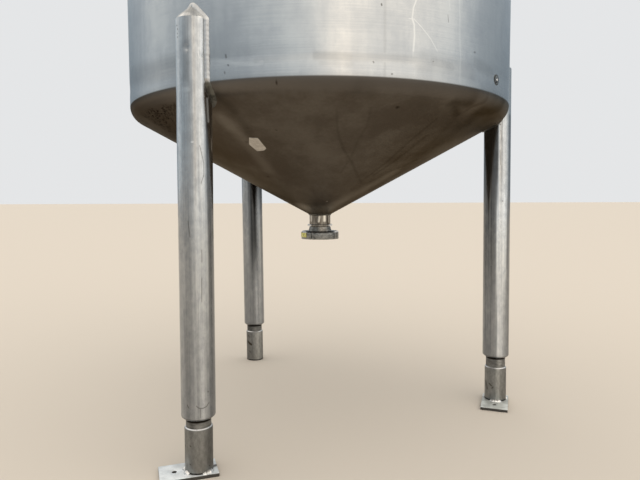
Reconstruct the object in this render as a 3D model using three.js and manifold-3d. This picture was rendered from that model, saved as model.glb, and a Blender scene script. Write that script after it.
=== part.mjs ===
import * as THREE from 'three';
import { mergeVertices } from 'three/addons/utils/BufferGeometryUtils.js';
import Module from 'manifold-3d';

// Stainless steel mixing tank with a conical bottom, on three tubular legs.
// Millimetres, +Z up. The tank is drawn about its own vertical axis with the ground at zero,
// and the whole group is moved sideways at the end, so that the origin is under the middle
// of its bounding box. Azimuths are counted from +X, counterclockwise seen from above.

const wasm = await Module();
wasm.setup();

const rad = THREE.MathUtils.degToRad;
const GAP = 0.3;
const ROUND_STEPS = 24;

// Vessel: one rolled course between two ends with straight flange, knuckle and cone
const SHELL_R = 800;
const WALL = 4;
const COURSE_H = 1500;
const FLANGE_H = 64;
const KNUCKLE_R = 54;
const KNUCKLE_STEPS = 5;
const BOTTOM_SLOPE = rad(28.36);
const TOP_SLOPE = rad(15);
const BOTTOM_TANGENT_Z = 1295;
const SEAM_AZIMUTH = rad(-75.5);
const PLATE_COUNT = 3;
const SHELL_STEPS = 72;

const BOTTOM_SEAM_Z = BOTTOM_TANGENT_Z + FLANGE_H;
const TOP_SEAM_Z = BOTTOM_SEAM_Z + COURSE_H;
const TOP_TANGENT_Z = TOP_SEAM_Z + FLANGE_H;

// Legs: pipes whose axes lie on the shell's surface, closed by a cone above and a ring below.
// Each leans a little sideways, along +X: lean gives its offsets at the ground and at LEAN_H.
const LEG_R = 57.15;
const LEG_WALL = 3;
const LEG_CIRCLE_R = 795.3;
const LEG_CAP_Z = 1492;
const LEG_END_CHAMFER = 10;
const LEG_STEPS = 32;
const LEAN_H = 1400;

// Feet: a neck in the leg's end ring, a sleeve on the neck, and a base plate on two of them
const NECK_R = 42;
const NECK_WALL = 6;
const NECK_IN_LEG = 90;
const NECK_IN_SLEEVE = 70;
const SLEEVE_R = 47;
const SLEEVE_CHAMFER = 4;
const PLATE_T = 12;
const PLATE_L = 192;
const PLATE_W = 113;
const PLATE_HOLE_R = 8;
const PLATE_HOLE_IN = 50;

// A plate's turn points from the leg to its far end; far and left place it from the leg's axis
const LEGS = {
  left: {
    azimuth: rad(-120.86),
    lean: [-4, 2.5],
    endZ: 193.5,
    sleeveTopZ: 165.5,
    plate: { turn: rad(198.7), far: 132, left: -3 },
  },
  right: {
    azimuth: rad(-0.86),
    lean: [7, -6.5],
    endZ: 210,
    sleeveTopZ: 164.5,
    plate: { turn: rad(-109.5), far: 141, left: 0 },
  },
  back: {
    azimuth: rad(119.14),
    lean: [4, -6],
    endZ: 205.5,
    sleeveTopZ: 169.5,
    plate: null,
  },
};

// Outlet: stub pipe, liner with a thin collar, and a slotted union nut with a blank tag
const STUB_R = 47;
const STUB_WALL = 3;
const STUB_LOW_Z = 813;
const COLLAR_R = 56;
const COLLAR_H = 8;
const LINER_TOP_R = 46;
const LINER_R = 52;
const LINER_H = 57;
const LINER_LIP_R = 62;
const NUT_DROP = 29.7;
const NUT_H = 35.5;
const NUT_R = 84;
const NUT_CHAMFER = 5;
const NUT_BORE_R = 66.5;
const NUT_LIP_H = 7;
const NUT_SLOTS = 4;
const NUT_SLOT_W = 8;
const NUT_SLOT_DEEP = 5;
const NUT_SLOT_AZIMUTH = rad(-115.7);
const TAG_H = 20;
const TAG_T = 1.2;
const TAG_FROM = rad(-182);
const TAG_TO = rad(-139);

// Earthing boss on the bottom end's straight flange: a disc with a stud
const BOSS_R = 20;
const BOSS_T = 3;
const BOSS_STUD_R = 7;
const BOSS_PROUD = 12;
const BOSS_Z = 1346;
const BOSS_AZIMUTH = rad(-37.6);

// Manway on the front of the top cone
const MANWAY_OUT = 490;
const MANWAY_R = 225;
const MANWAY_RIM_W = 14;
const MANWAY_RIM_T = 10;
const MANWAY_RIM_Z = 3168;
const MANWAY_STEPS = 40;
const LID_T = 12;
const LID_DOME_R = 205;
const LID_DOME_H = 48;
const LID_WALL = 4;
const CLAMP_ANGLES = [10, -90, -190].map(rad);
const HINGE_ANGLE = rad(90);

// Agitator drive on the middle of the top cone
const PAD_R = 150;
const PAD_FLANGE_R = 185;
const PAD_FLANGE_T = 20;
const PAD_TOP_Z = 3185;
const LANTERN_H = 220;
const LANTERN_R = 110;
const LANTERN_WALL = 10;
const LANTERN_HEAD_R = 130;
const LANTERN_FLANGE_T = 16;
const WINDOW_W = 110;
const WINDOW_H = 120;
const SHAFT_R = 25;
const COUPLING_R = 50;
const COUPLING_H = 90;
const GEARBOX_H = 200;
const GEARBOX_R = 112;
const MOTOR_H = 250;
const MOTOR_R = 108;
const COWL_H = 82;
const COWL_R = 113;
const TERMINAL_BOX = { deep: 66, wide: 120, high: 130 };

// Capped nozzle and lifting lugs on the top cone
const NOZZLE_OUT = 520;
const NOZZLE_TOP_Z = 3160;
const NOZZLES = { inlet: rad(62) };
const CAP_DISC_T = 8;
const LUG_OUT = 655;
const LUG_W = 110;
const LUG_H = 120;
const LUG_T = 15;
const LUG_HOLE_R = 22;
const LUGS = { right: 0, left: Math.PI };

// Materials

const steel = (color, roughness) => new THREE.MeshStandardMaterial({ color, roughness, metalness: 0.9 });
const shellSteel = steel(0xa9a9a6, 0.38);
const bottomSteel = steel(0x6b655d, 0.45);
const legSteel = steel(0x9c9b97, 0.4);
const footSteel = steel(0x7f7c77, 0.5);
const plateSteel = steel(0xb4b6b5, 0.55);
const polishedSteel = steel(0xb8b8b6, 0.25);
const tagYellow = new THREE.MeshStandardMaterial({ color: 0xc9c04a, roughness: 0.6, metalness: 0 });
const drivePaint = new THREE.MeshStandardMaterial({ color: 0x5d6e78, roughness: 0.5, metalness: 0.1 });

// Solids from three.js geometry

function solidFrom(geometry) {
  const bare = geometry.clone();
  bare.deleteAttribute('normal');
  bare.deleteAttribute('uv');
  const merged = mergeVertices(bare, 1e-4);
  const index = merged.index.array;
  const faces = [];
  for (let i = 0; i < index.length; i += 3) {
    const [a, b, c] = [index[i], index[i + 1], index[i + 2]];
    if (a !== b && b !== c && c !== a) faces.push(a, b, c);
  }
  const vertProperties = merged.attributes.position.array;
  return new wasm.Manifold(new wasm.Mesh({ numProp: 3, vertProperties, triVerts: new Uint32Array(faces) }));
}

function geometryFrom(solid) {
  const mesh = solid.getMesh();
  const geometry = new THREE.BufferGeometry();
  geometry.setAttribute('position', new THREE.BufferAttribute(mesh.vertProperties, 3));
  geometry.setIndex(new THREE.BufferAttribute(mesh.triVerts, 1));
  geometry.computeVertexNormals();
  return geometry;
}

function cut(geometry, ...tools) {
  return geometryFrom(tools.reduce((solid, tool) => solid.subtract(solidFrom(tool)), solidFrom(geometry)));
}

function join(...geometries) {
  return geometryFrom(geometries.map(solidFrom).reduce((solid, next) => solid.add(next)));
}

// A profile of [radius, height] points turned about the vertical axis. It closes on itself,
// or starts and ends on the axis.
function revolve(profile, steps = ROUND_STEPS, azimuth = 0) {
  const points = profile.map(([r, z]) => new THREE.Vector2(r, z));
  if (THREE.ShapeUtils.area(points) < 0) points.reverse();
  if (points[0].x > 0) points.push(points[0].clone());
  return new THREE.LatheGeometry(points, steps, azimuth + Math.PI / 2).rotateX(Math.PI / 2);
}

function tube(outerR, innerR, lowZ, highZ, steps) {
  return revolve([[innerR, lowZ], [outerR, lowZ], [outerR, highZ], [innerR, highZ]], steps);
}

function rod(r, lowZ, highZ, steps) {
  return revolve([[0, lowZ], [r, lowZ], [r, highZ], [0, highZ]], steps);
}

function box(x, y, z, middle = [0, 0, 0]) {
  return new THREE.BoxGeometry(x, y, z).translate(...middle);
}

const polar = (r, azimuth) => new THREE.Vector2(r * Math.cos(azimuth), r * Math.sin(azimuth));

// A pie slice between two azimuths, set back by half a gap on both of its sides
function slice(from, to, reach, lowZ, highZ) {
  const middle = (from + to) / 2;
  const setBack = polar(GAP / 2 / Math.sin((to - from) / 2), middle);
  const rim = [from, middle, to].map((azimuth) => polar(2 * reach, azimuth));
  const outline = new THREE.Shape([new THREE.Vector2(0, 0), ...rim]);
  const prism = new THREE.ExtrudeGeometry(outline, { depth: highZ - lowZ, bevelEnabled: false });
  return prism.translate(setBack.x, setBack.y, lowZ);
}

function sliceOf(ring, from, to, reach, lowZ, highZ) {
  return geometryFrom(solidFrom(ring).intersect(solidFrom(slice(from, to, reach, lowZ, highZ))));
}

// Scene graph

const tank = new THREE.Group();

function addPiece(name, geometry, material, parent = tank) {
  const mesh = new THREE.Mesh(geometry, material);
  mesh.name = name;
  parent.add(mesh);
  return mesh;
}

function addGroup(azimuth, out = 0) {
  const group = new THREE.Group();
  group.rotation.z = azimuth;
  group.position.set(out * Math.cos(azimuth), out * Math.sin(azimuth), 0);
  tank.add(group);
  return group;
}

// Vessel

// One surface of an end as [radius, height past the tangent line] points, from the flange's
// edge to the opening. The inset is counted inwards from the outer surface.
function endLine(inset, slope, openingR) {
  const bend = KNUCKLE_R - inset;
  const line = [[SHELL_R - inset, -FLANGE_H]];
  for (let step = 0; step <= KNUCKLE_STEPS; step += 1) {
    const angle = (Math.PI / 2 - slope) * step / KNUCKLE_STEPS;
    line.push([SHELL_R - KNUCKLE_R + bend * Math.cos(angle), bend * Math.sin(angle)]);
  }
  const [coneR, coneH] = line.at(-1);
  line.push([openingR, coneH + (coneR - openingR) * Math.tan(slope)]);
  return line;
}

const below = (line) => line.map(([r, h]) => [r, BOTTOM_TANGENT_Z - h]);
const above = (line) => line.map(([r, h]) => [r, TOP_TANGENT_Z + h]);

function topConeZ(r) {
  return TOP_TANGENT_Z + endLine(0, TOP_SLOPE, r).at(-1)[1];
}

// The vessel's outside as one solid with a gap round it, turned into the frame of a group
function envelope(groupAzimuth = 0, groupOut = 0) {
  const bottom = below(endLine(-GAP, BOTTOM_SLOPE, 0)).reverse();
  const top = above(endLine(-GAP, TOP_SLOPE, 0));
  const solid = revolve([...bottom, ...top], SHELL_STEPS, SEAM_AZIMUTH - groupAzimuth);
  return solid.translate(-groupOut, 0, 0);
}

const PLATE_ANGLE = 2 * Math.PI / PLATE_COUNT;

function vesselPlate(ring, number) {
  const from = SEAM_AZIMUTH + number * PLATE_ANGLE;
  return sliceOf(ring, from, from + PLATE_ANGLE, SHELL_R, 0, 2 * TOP_TANGENT_Z);
}

const BOTTOM_OPENING_R = STUB_R + GAP;

function addVessel() {
  const course = [
    [SHELL_R - WALL, BOTTOM_SEAM_Z + GAP],
    [SHELL_R, BOTTOM_SEAM_Z + GAP],
    [SHELL_R, TOP_SEAM_Z - GAP],
    [SHELL_R - WALL, TOP_SEAM_Z - GAP],
  ];
  const end = (side, slope, openingR) => [
    ...side(endLine(0, slope, openingR)),
    ...side(endLine(WALL, slope, openingR)).reverse(),
  ];
  const holes = [
    manwayHole(),
    ...Object.values(NOZZLES).map(nozzleHole),
  ];
  const shellRing = revolve(course, SHELL_STEPS, SEAM_AZIMUTH);
  const bottomRing = revolve(end(below, BOTTOM_SLOPE, BOTTOM_OPENING_R), SHELL_STEPS, SEAM_AZIMUTH);
  const topRing = cut(revolve(end(above, TOP_SLOPE, PAD_R - WALL), SHELL_STEPS, SEAM_AZIMUTH), ...holes);
  for (let number = 0; number < PLATE_COUNT; number += 1) {
    addPiece(`shell_plate_${number + 1}`, vesselPlate(shellRing, number), shellSteel);
    addPiece(`bottom_cone_${number + 1}`, vesselPlate(bottomRing, number), bottomSteel);
    addPiece(`top_cone_${number + 1}`, vesselPlate(topRing, number), shellSteel);
  }
  const boss = revolve([
    [0, SHELL_R - BOSS_T],
    [BOSS_R, SHELL_R - BOSS_T],
    [BOSS_R, SHELL_R + BOSS_T],
    [BOSS_STUD_R, SHELL_R + BOSS_T],
    [BOSS_STUD_R, SHELL_R + BOSS_PROUD],
    [0, SHELL_R + BOSS_PROUD],
  ]);
  boss.rotateY(Math.PI / 2).translate(0, 0, BOSS_Z);
  addPiece('earth_boss', cut(boss, envelope(BOSS_AZIMUTH)), polishedSteel, addGroup(BOSS_AZIMUTH));
}

// Legs and feet

function legTube(endZ) {
  const innerR = LEG_R - LEG_WALL;
  return revolve([
    [NECK_R + GAP, endZ],
    [LEG_R - LEG_END_CHAMFER, endZ],
    [LEG_R, endZ + LEG_END_CHAMFER],
    [LEG_R, LEG_CAP_Z - GAP],
    [innerR, LEG_CAP_Z - GAP],
    [innerR, endZ + LEG_END_CHAMFER],
    [NECK_R + GAP, endZ + LEG_END_CHAMFER],
  ], LEG_STEPS);
}

function legCap() {
  const innerR = LEG_R - LEG_WALL;
  const profile = [[0, LEG_CAP_Z + innerR], [innerR, LEG_CAP_Z], [LEG_R, LEG_CAP_Z], [0, LEG_CAP_Z + LEG_R]];
  return revolve(profile, LEG_STEPS);
}

function footSleeve(lowZ, topZ) {
  return revolve([
    [NECK_R + GAP, lowZ],
    [SLEEVE_R, lowZ],
    [SLEEVE_R, topZ - SLEEVE_CHAMFER],
    [SLEEVE_R - SLEEVE_CHAMFER, topZ],
    [NECK_R + GAP, topZ],
  ]);
}

function footPlate(far, left) {
  const outline = new THREE.Shape();
  outline.moveTo(far - PLATE_L, left - PLATE_W / 2);
  outline.lineTo(far, left - PLATE_W / 2);
  outline.lineTo(far, left + PLATE_W / 2);
  outline.lineTo(far - PLATE_L, left + PLATE_W / 2);
  outline.closePath();
  const hole = new THREE.Path();
  hole.absarc(far - PLATE_HOLE_IN, left, PLATE_HOLE_R, 0, 2 * Math.PI, true);
  outline.holes.push(hole);
  return new THREE.ExtrudeGeometry(outline, { depth: PLATE_T, bevelEnabled: false, curveSegments: 12 });
}

function addLeg(side, { azimuth, lean: [footX, headX], endZ, sleeveTopZ, plate }) {
  const leg = addGroup(azimuth, LEG_CIRCLE_R);
  const vessel = envelope(azimuth, LEG_CIRCLE_R);
  const sideways = polar(1, -azimuth);
  const slope = sideways.clone().multiplyScalar((headX - footX) / LEAN_H);
  const foot = sideways.multiplyScalar(footX);
  const leaning = new THREE.Matrix4().set(
    1, 0, slope.x, foot.x,
    0, 1, slope.y, foot.y,
    0, 0, 1, 0,
    0, 0, 0, 1,
  );
  const neck = tube(NECK_R, NECK_R - NECK_WALL, sleeveTopZ - NECK_IN_SLEEVE, endZ + NECK_IN_LEG);
  const sleeve = footSleeve(plate ? PLATE_T + GAP : 0, sleeveTopZ);
  addPiece(`leg_${side}`, cut(legTube(endZ).applyMatrix4(leaning), vessel), legSteel, leg);
  addPiece(`leg_cap_${side}`, cut(legCap().applyMatrix4(leaning), vessel), legSteel, leg);
  addPiece(`foot_neck_${side}`, neck.applyMatrix4(leaning), footSteel, leg);
  addPiece(`foot_sleeve_${side}`, sleeve.applyMatrix4(leaning), footSteel, leg);
  if (!plate) return;
  const flat = addPiece(`foot_plate_${side}`, footPlate(plate.far, plate.left), plateSteel, leg);
  flat.position.set(foot.x, foot.y, 0);
  flat.rotation.z = plate.turn - azimuth;
}

// Union fittings, drawn hanging from height zero

function stubTube(topZ) {
  return tube(STUB_R, STUB_R - STUB_WALL, GAP, topZ);
}

function liner() {
  const boreR = STUB_R - STUB_WALL;
  return revolve([
    [boreR, 0],
    [COLLAR_R, 0],
    [COLLAR_R, -COLLAR_H],
    [LINER_TOP_R, -COLLAR_H],
    [LINER_R, -NUT_DROP],
    [LINER_R, -NUT_DROP - NUT_LIP_H],
    [LINER_LIP_R, -NUT_DROP - NUT_LIP_H - 4],
    [LINER_LIP_R, -LINER_H],
    [boreR, -LINER_H],
  ]);
}

function unionNut() {
  const topZ = -NUT_DROP;
  const nut = revolve([
    [LINER_R + 2 * GAP, topZ],
    [NUT_R - NUT_CHAMFER, topZ],
    [NUT_R, topZ - NUT_CHAMFER],
    [NUT_R, topZ - NUT_H],
    [NUT_BORE_R, topZ - NUT_H],
    [NUT_BORE_R, topZ - NUT_LIP_H - 4],
    [LINER_LIP_R, topZ - NUT_LIP_H - 4 + 2 * GAP],
    [LINER_R + 2 * GAP, topZ - NUT_LIP_H + 2 * GAP],
  ]);
  const slots = [];
  for (let slot = 0; slot < NUT_SLOTS; slot += 1) {
    const azimuth = NUT_SLOT_AZIMUTH + 2 * Math.PI * slot / NUT_SLOTS;
    const bar = box(2 * NUT_SLOT_DEEP, NUT_SLOT_W, 2 * NUT_H, [NUT_R, 0, topZ - NUT_H / 2]);
    slots.push(bar.rotateZ(azimuth));
  }
  return cut(nut, ...slots);
}

function addOutlet() {
  const outlet = new THREE.Group();
  outlet.position.z = STUB_LOW_Z;
  tank.add(outlet);
  const coneZ = BOTTOM_TANGENT_Z - endLine(WALL, BOTTOM_SLOPE, BOTTOM_OPENING_R).at(-1)[1];
  addPiece('outlet_stub', stubTube(coneZ - STUB_LOW_Z), polishedSteel, outlet);
  addPiece('outlet_liner', liner(), polishedSteel, outlet);
  addPiece('outlet_nut', unionNut(), footSteel, outlet);
  const tagLow = -NUT_DROP - NUT_CHAMFER - TAG_H - 2;
  const band = tube(NUT_R + GAP + TAG_T, NUT_R + GAP, tagLow, tagLow + TAG_H);
  const tag = sliceOf(band, TAG_FROM, TAG_TO, NUT_R, 2 * tagLow, 0);
  addPiece('outlet_tag', tag, tagYellow, outlet);
}

// Manway, in a group whose +X points away from the tank's axis

const MANWAY_AZIMUTH = -Math.PI / 2;

function manwayHole() {
  const hole = rod(MANWAY_R - WALL, TOP_SEAM_Z, MANWAY_RIM_Z, MANWAY_STEPS);
  return hole.translate(0, -MANWAY_OUT, 0);
}

function manwayNeck() {
  const rimR = MANWAY_R + MANWAY_RIM_W;
  const neck = revolve([
    [MANWAY_R - WALL, TOP_TANGENT_Z],
    [MANWAY_R, TOP_TANGENT_Z],
    [MANWAY_R, MANWAY_RIM_Z - MANWAY_RIM_T],
    [rimR, MANWAY_RIM_Z - MANWAY_RIM_T],
    [rimR, MANWAY_RIM_Z],
    [MANWAY_R - WALL, MANWAY_RIM_Z],
  ], MANWAY_STEPS);
  return cut(neck, envelope(MANWAY_AZIMUTH, MANWAY_OUT));
}

// One skin of the lid's dome, from its edge to its crown
function domeLine(edgeR, height, baseZ, steps = 4) {
  const ballR = (edgeR ** 2 + height ** 2) / (2 * height);
  const spread = Math.asin(edgeR / ballR);
  const line = [];
  for (let step = 0; step <= steps; step += 1) {
    const angle = spread * (1 - step / steps);
    line.push([ballR * Math.sin(angle), baseZ + height - ballR * (1 - Math.cos(angle))]);
  }
  return line;
}

function manwayLid() {
  const lowZ = MANWAY_RIM_Z + GAP;
  const rimR = MANWAY_R + MANWAY_RIM_W;
  return revolve([
    ...domeLine(LID_DOME_R - LID_WALL, LID_DOME_H - LID_WALL + LID_T, lowZ).reverse(),
    [rimR, lowZ],
    [rimR, lowZ + LID_T],
    ...domeLine(LID_DOME_R, LID_DOME_H, lowZ + LID_T),
  ], MANWAY_STEPS);
}

// A swing bolt: a bracket on the neck, a stud past the lid's rim and a knob on the rim
function manwayClamp() {
  const rimR = MANWAY_R + MANWAY_RIM_W;
  const studR = 6;
  const studOut = rimR + 10;
  const lidTopZ = MANWAY_RIM_Z + GAP + LID_T;
  const bracketTopZ = MANWAY_RIM_Z - MANWAY_RIM_T - GAP;
  const bracketIn = MANWAY_R + GAP;
  const bracketOut = studOut + 2 * studR;
  const bracket = box(bracketOut - bracketIn, 30, 24, [(bracketOut + bracketIn) / 2, 0, bracketTopZ - 12]);
  const stud = rod(studR, bracketTopZ - 12, lidTopZ + 30, 12).translate(studOut, 0, 0);
  const knob = rod(19, lidTopZ + GAP, lidTopZ + 22, 20).translate(studOut, 0, 0);
  return join(bracket, stud, knob);
}

// The hinge: a post on the neck's outside, a cross pin and a strap that reaches onto the lid
function manwayHinge() {
  const rimR = MANWAY_R + MANWAY_RIM_W;
  const lidTopZ = MANWAY_RIM_Z + GAP + LID_T;
  const postIn = MANWAY_R + GAP;
  const postTopZ = MANWAY_RIM_Z - MANWAY_RIM_T - GAP;
  const pinOut = rimR + 24;
  const foot = box(pinOut + 14 - postIn, 60, 16, [(pinOut + 14 + postIn) / 2, 0, postTopZ - 8]);
  const post = box(26, 60, 44, [pinOut, 0, postTopZ + 6]);
  const pin = rod(9, -50, 50, 20).rotateX(Math.PI / 2).translate(pinOut, 0, lidTopZ + 8);
  const strap = box(64, 40, 10, [pinOut - 20, 0, lidTopZ + GAP + 5]);
  return join(foot, post, pin, strap);
}

function manwayHandle() {
  const crownZ = MANWAY_RIM_Z + GAP + LID_T + LID_DOME_H;
  const path = new THREE.CatmullRomCurve3([
    new THREE.Vector3(-60, 0, crownZ - 3),
    new THREE.Vector3(-60, 0, crownZ + 25),
    new THREE.Vector3(-45, 0, crownZ + 42),
    new THREE.Vector3(0, 0, crownZ + 45),
    new THREE.Vector3(45, 0, crownZ + 42),
    new THREE.Vector3(60, 0, crownZ + 25),
    new THREE.Vector3(60, 0, crownZ - 3),
  ]);
  const section = new THREE.Shape().absarc(0, 0, 7, 0, 2 * Math.PI, false);
  return new THREE.ExtrudeGeometry(section, { extrudePath: path, steps: 18, curveSegments: 4 });
}

function addManway() {
  const manway = addGroup(MANWAY_AZIMUTH, MANWAY_OUT);
  addPiece('manway_neck', manwayNeck(), shellSteel, manway);
  addPiece('manway_lid', manwayLid(), shellSteel, manway);
  addPiece('manway_hinge', manwayHinge().rotateZ(HINGE_ANGLE), legSteel, manway);
  addPiece('manway_handle', manwayHandle(), polishedSteel, manway);
  CLAMP_ANGLES.forEach((angle, number) => {
    addPiece(`manway_clamp_${number + 1}`, manwayClamp().rotateZ(angle), legSteel, manway);
  });
}

// Agitator drive

function addAgitator() {
  const padLowZ = PAD_TOP_Z - PAD_FLANGE_T;
  const pad = revolve([
    [PAD_R - WALL, topConeZ(PAD_R) - 2 * KNUCKLE_R],
    [PAD_R, topConeZ(PAD_R) - 2 * KNUCKLE_R],
    [PAD_R, padLowZ],
    [PAD_FLANGE_R, padLowZ],
    [PAD_FLANGE_R, PAD_TOP_Z],
    [SHAFT_R + 5, PAD_TOP_Z],
    [SHAFT_R + 5, padLowZ],
    [PAD_R - WALL, padLowZ],
  ]);
  addPiece('agitator_pad', cut(pad, envelope()), shellSteel);

  const lanternZ = PAD_TOP_Z + GAP;
  const headZ = lanternZ + LANTERN_H;
  const boreR = LANTERN_R - LANTERN_WALL;
  const stool = revolve([
    [boreR, lanternZ],
    [PAD_FLANGE_R, lanternZ],
    [PAD_FLANGE_R, lanternZ + LANTERN_FLANGE_T],
    [LANTERN_R, lanternZ + LANTERN_FLANGE_T],
    [LANTERN_R, headZ - LANTERN_FLANGE_T],
    [LANTERN_HEAD_R, headZ - LANTERN_FLANGE_T],
    [LANTERN_HEAD_R, headZ],
    [boreR, headZ],
  ]);
  const window = box(3 * LANTERN_R, WINDOW_W, WINDOW_H, [0, 0, lanternZ + LANTERN_H / 2]);
  addPiece('agitator_lantern', cut(stool, window), drivePaint);

  const couplingZ = lanternZ + (LANTERN_H - COUPLING_H) / 2;
  const shaft = revolve([
    [0, padLowZ - KNUCKLE_R / 2],
    [SHAFT_R, padLowZ - KNUCKLE_R / 2],
    [SHAFT_R, couplingZ],
    [COUPLING_R, couplingZ],
    [COUPLING_R, couplingZ + COUPLING_H],
    [SHAFT_R, couplingZ + COUPLING_H],
    [SHAFT_R, headZ],
    [0, headZ],
  ]);
  addPiece('agitator_shaft', shaft, polishedSteel);

  const gearboxZ = headZ + GAP;
  const motorZ = gearboxZ + GEARBOX_H + GAP;
  const gearbox = revolve([
    [0, gearboxZ],
    [LANTERN_HEAD_R, gearboxZ],
    [LANTERN_HEAD_R, gearboxZ + LANTERN_FLANGE_T],
    [GEARBOX_R - 8, gearboxZ + 2 * LANTERN_FLANGE_T],
    [GEARBOX_R, gearboxZ + 4 * LANTERN_FLANGE_T],
    [GEARBOX_R, motorZ - 2 * LANTERN_FLANGE_T],
    [COWL_R + 8, motorZ - LANTERN_FLANGE_T],
    [COWL_R + 8, motorZ - GAP],
    [0, motorZ - GAP],
  ]);
  addPiece('agitator_gearbox', gearbox, drivePaint);

  const cowlZ = motorZ + MOTOR_H;
  const motor = revolve([
    [0, motorZ],
    [COWL_R + 8, motorZ],
    [COWL_R + 8, motorZ + LANTERN_FLANGE_T],
    [MOTOR_R, motorZ + LANTERN_FLANGE_T],
    [MOTOR_R, cowlZ],
    [COWL_R, cowlZ],
    [COWL_R, cowlZ + COWL_H * 0.75],
    [COWL_R * 0.88, cowlZ + COWL_H * 0.94],
    [COWL_R * 0.7, cowlZ + COWL_H],
    [0, cowlZ + COWL_H],
  ]);
  addPiece('agitator_motor', motor, drivePaint);

  const { deep, wide, high } = TERMINAL_BOX;
  const boxIn = MOTOR_R + GAP;
  const terminals = box(deep, wide, high, [boxIn + deep / 2, 0, motorZ + MOTOR_H / 2 + LANTERN_FLANGE_T]);
  const seat = box(2 * KNUCKLE_R, wide * 0.75, high * 0.75, [boxIn - 6, 0, motorZ + MOTOR_H / 2 + LANTERN_FLANGE_T]);
  const body = rod(MOTOR_R + GAP, motorZ - GAP, motorZ + MOTOR_H + GAP);
  addPiece('agitator_terminal_box', cut(join(terminals, seat), body), drivePaint);
}

// Nozzles: an outlet fitting turned upside down, closed by a blank nut

function nozzleHole(azimuth) {
  const hole = rod(STUB_R - STUB_WALL, TOP_SEAM_Z, NOZZLE_TOP_Z);
  const place = polar(NOZZLE_OUT, azimuth);
  return hole.translate(place.x, place.y, 0);
}

function addNozzle(name, azimuth) {
  const nozzle = addGroup(azimuth, NOZZLE_OUT);
  const stub = tube(STUB_R, STUB_R - STUB_WALL, TOP_TANGENT_Z, NOZZLE_TOP_Z + 1);
  const fitting = liner().rotateX(Math.PI).translate(0, 0, NOZZLE_TOP_Z);
  const body = cut(join(stub, fitting), envelope(azimuth, NOZZLE_OUT));
  addPiece(`${name}_nozzle`, body, polishedSteel, nozzle);
  const disc = rod(NUT_BORE_R + 1, -LINER_H - GAP - CAP_DISC_T, -LINER_H - GAP);
  const cap = join(unionNut(), disc).rotateX(Math.PI).translate(0, 0, NOZZLE_TOP_Z);
  addPiece(`${name}_cap`, cap, footSteel, nozzle);
}

// Lifting lugs: upright plates across the radius, with an eye

function liftingLug(azimuth) {
  const outline = new THREE.Shape();
  const eyeH = LUG_H - LUG_W / 2;
  outline.moveTo(-LUG_W / 2, -LUG_H);
  outline.lineTo(LUG_W / 2, -LUG_H);
  outline.lineTo(LUG_W / 2, eyeH);
  outline.absarc(0, eyeH, LUG_W / 2, 0, Math.PI, false);
  outline.closePath();
  const eye = new THREE.Path();
  eye.absarc(0, eyeH, LUG_HOLE_R, 0, 2 * Math.PI, true);
  outline.holes.push(eye);
  const plate = new THREE.ExtrudeGeometry(outline, { depth: LUG_T, bevelEnabled: false, curveSegments: 16 });
  plate.translate(0, 0, -LUG_T / 2).rotateX(Math.PI / 2).translate(0, 0, topConeZ(LUG_OUT));
  return cut(plate, envelope(azimuth, LUG_OUT));
}

addVessel();
Object.entries(LEGS).forEach(([side, leg]) => addLeg(side, leg));
addOutlet();
addManway();
addAgitator();
Object.entries(NOZZLES).forEach(([name, azimuth]) => addNozzle(name, azimuth));
Object.entries(LUGS).forEach(([side, azimuth]) => {
  addPiece(`lifting_lug_${side}`, liftingLug(azimuth), legSteel, addGroup(azimuth, LUG_OUT));
});

// The right foot stands out past the shell, so the box's middle is not on the tank's axis
const bounds = new THREE.Box3().setFromObject(tank, true);
tank.position.x = -(bounds.min.x + bounds.max.x) / 2;
tank.position.y = -(bounds.min.y + bounds.max.y) / 2;

export default tank;
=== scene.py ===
"""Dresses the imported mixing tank: smooth meshes, welds, fittings and finishes, in metres.

Angles named front are counted from the side that faces the camera (-Y), growing towards +X.
Pixels are places in the photograph's 640 by 480 frame.
"""

from functools import partial
from math import acos, asin, atan2, cos, exp, hypot, pi, radians, sin, sqrt, tan

import bmesh
import bpy
import numpy as np
from mathutils import Matrix, Vector, noise


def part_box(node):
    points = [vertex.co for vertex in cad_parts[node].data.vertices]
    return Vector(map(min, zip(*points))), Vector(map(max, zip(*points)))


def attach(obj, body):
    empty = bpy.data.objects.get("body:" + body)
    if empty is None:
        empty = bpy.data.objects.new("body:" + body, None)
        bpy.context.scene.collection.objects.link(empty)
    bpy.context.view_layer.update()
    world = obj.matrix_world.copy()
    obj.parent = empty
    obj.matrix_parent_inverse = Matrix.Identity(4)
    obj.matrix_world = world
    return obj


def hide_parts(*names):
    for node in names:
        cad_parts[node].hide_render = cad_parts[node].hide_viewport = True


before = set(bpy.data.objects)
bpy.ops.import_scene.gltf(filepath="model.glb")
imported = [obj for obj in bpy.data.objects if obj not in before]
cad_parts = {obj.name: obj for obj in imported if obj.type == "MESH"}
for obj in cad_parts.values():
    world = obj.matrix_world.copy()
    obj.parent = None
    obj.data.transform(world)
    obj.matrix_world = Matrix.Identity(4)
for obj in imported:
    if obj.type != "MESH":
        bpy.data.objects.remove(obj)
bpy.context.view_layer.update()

UP = Vector((0, 0, 1))
TURN = 2 * pi


def span(node):
    """Lowest and highest height of a CAD node."""
    low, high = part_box(node)
    return low.z, high.z


def new_object(name, data):
    """A new object in the scene."""
    made = bpy.data.objects.new(name, data)
    bpy.context.scene.collection.objects.link(made)
    return made


AXIS = (sum(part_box("outlet_stub"), Vector()) / 2).xy.to_3d()

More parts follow.
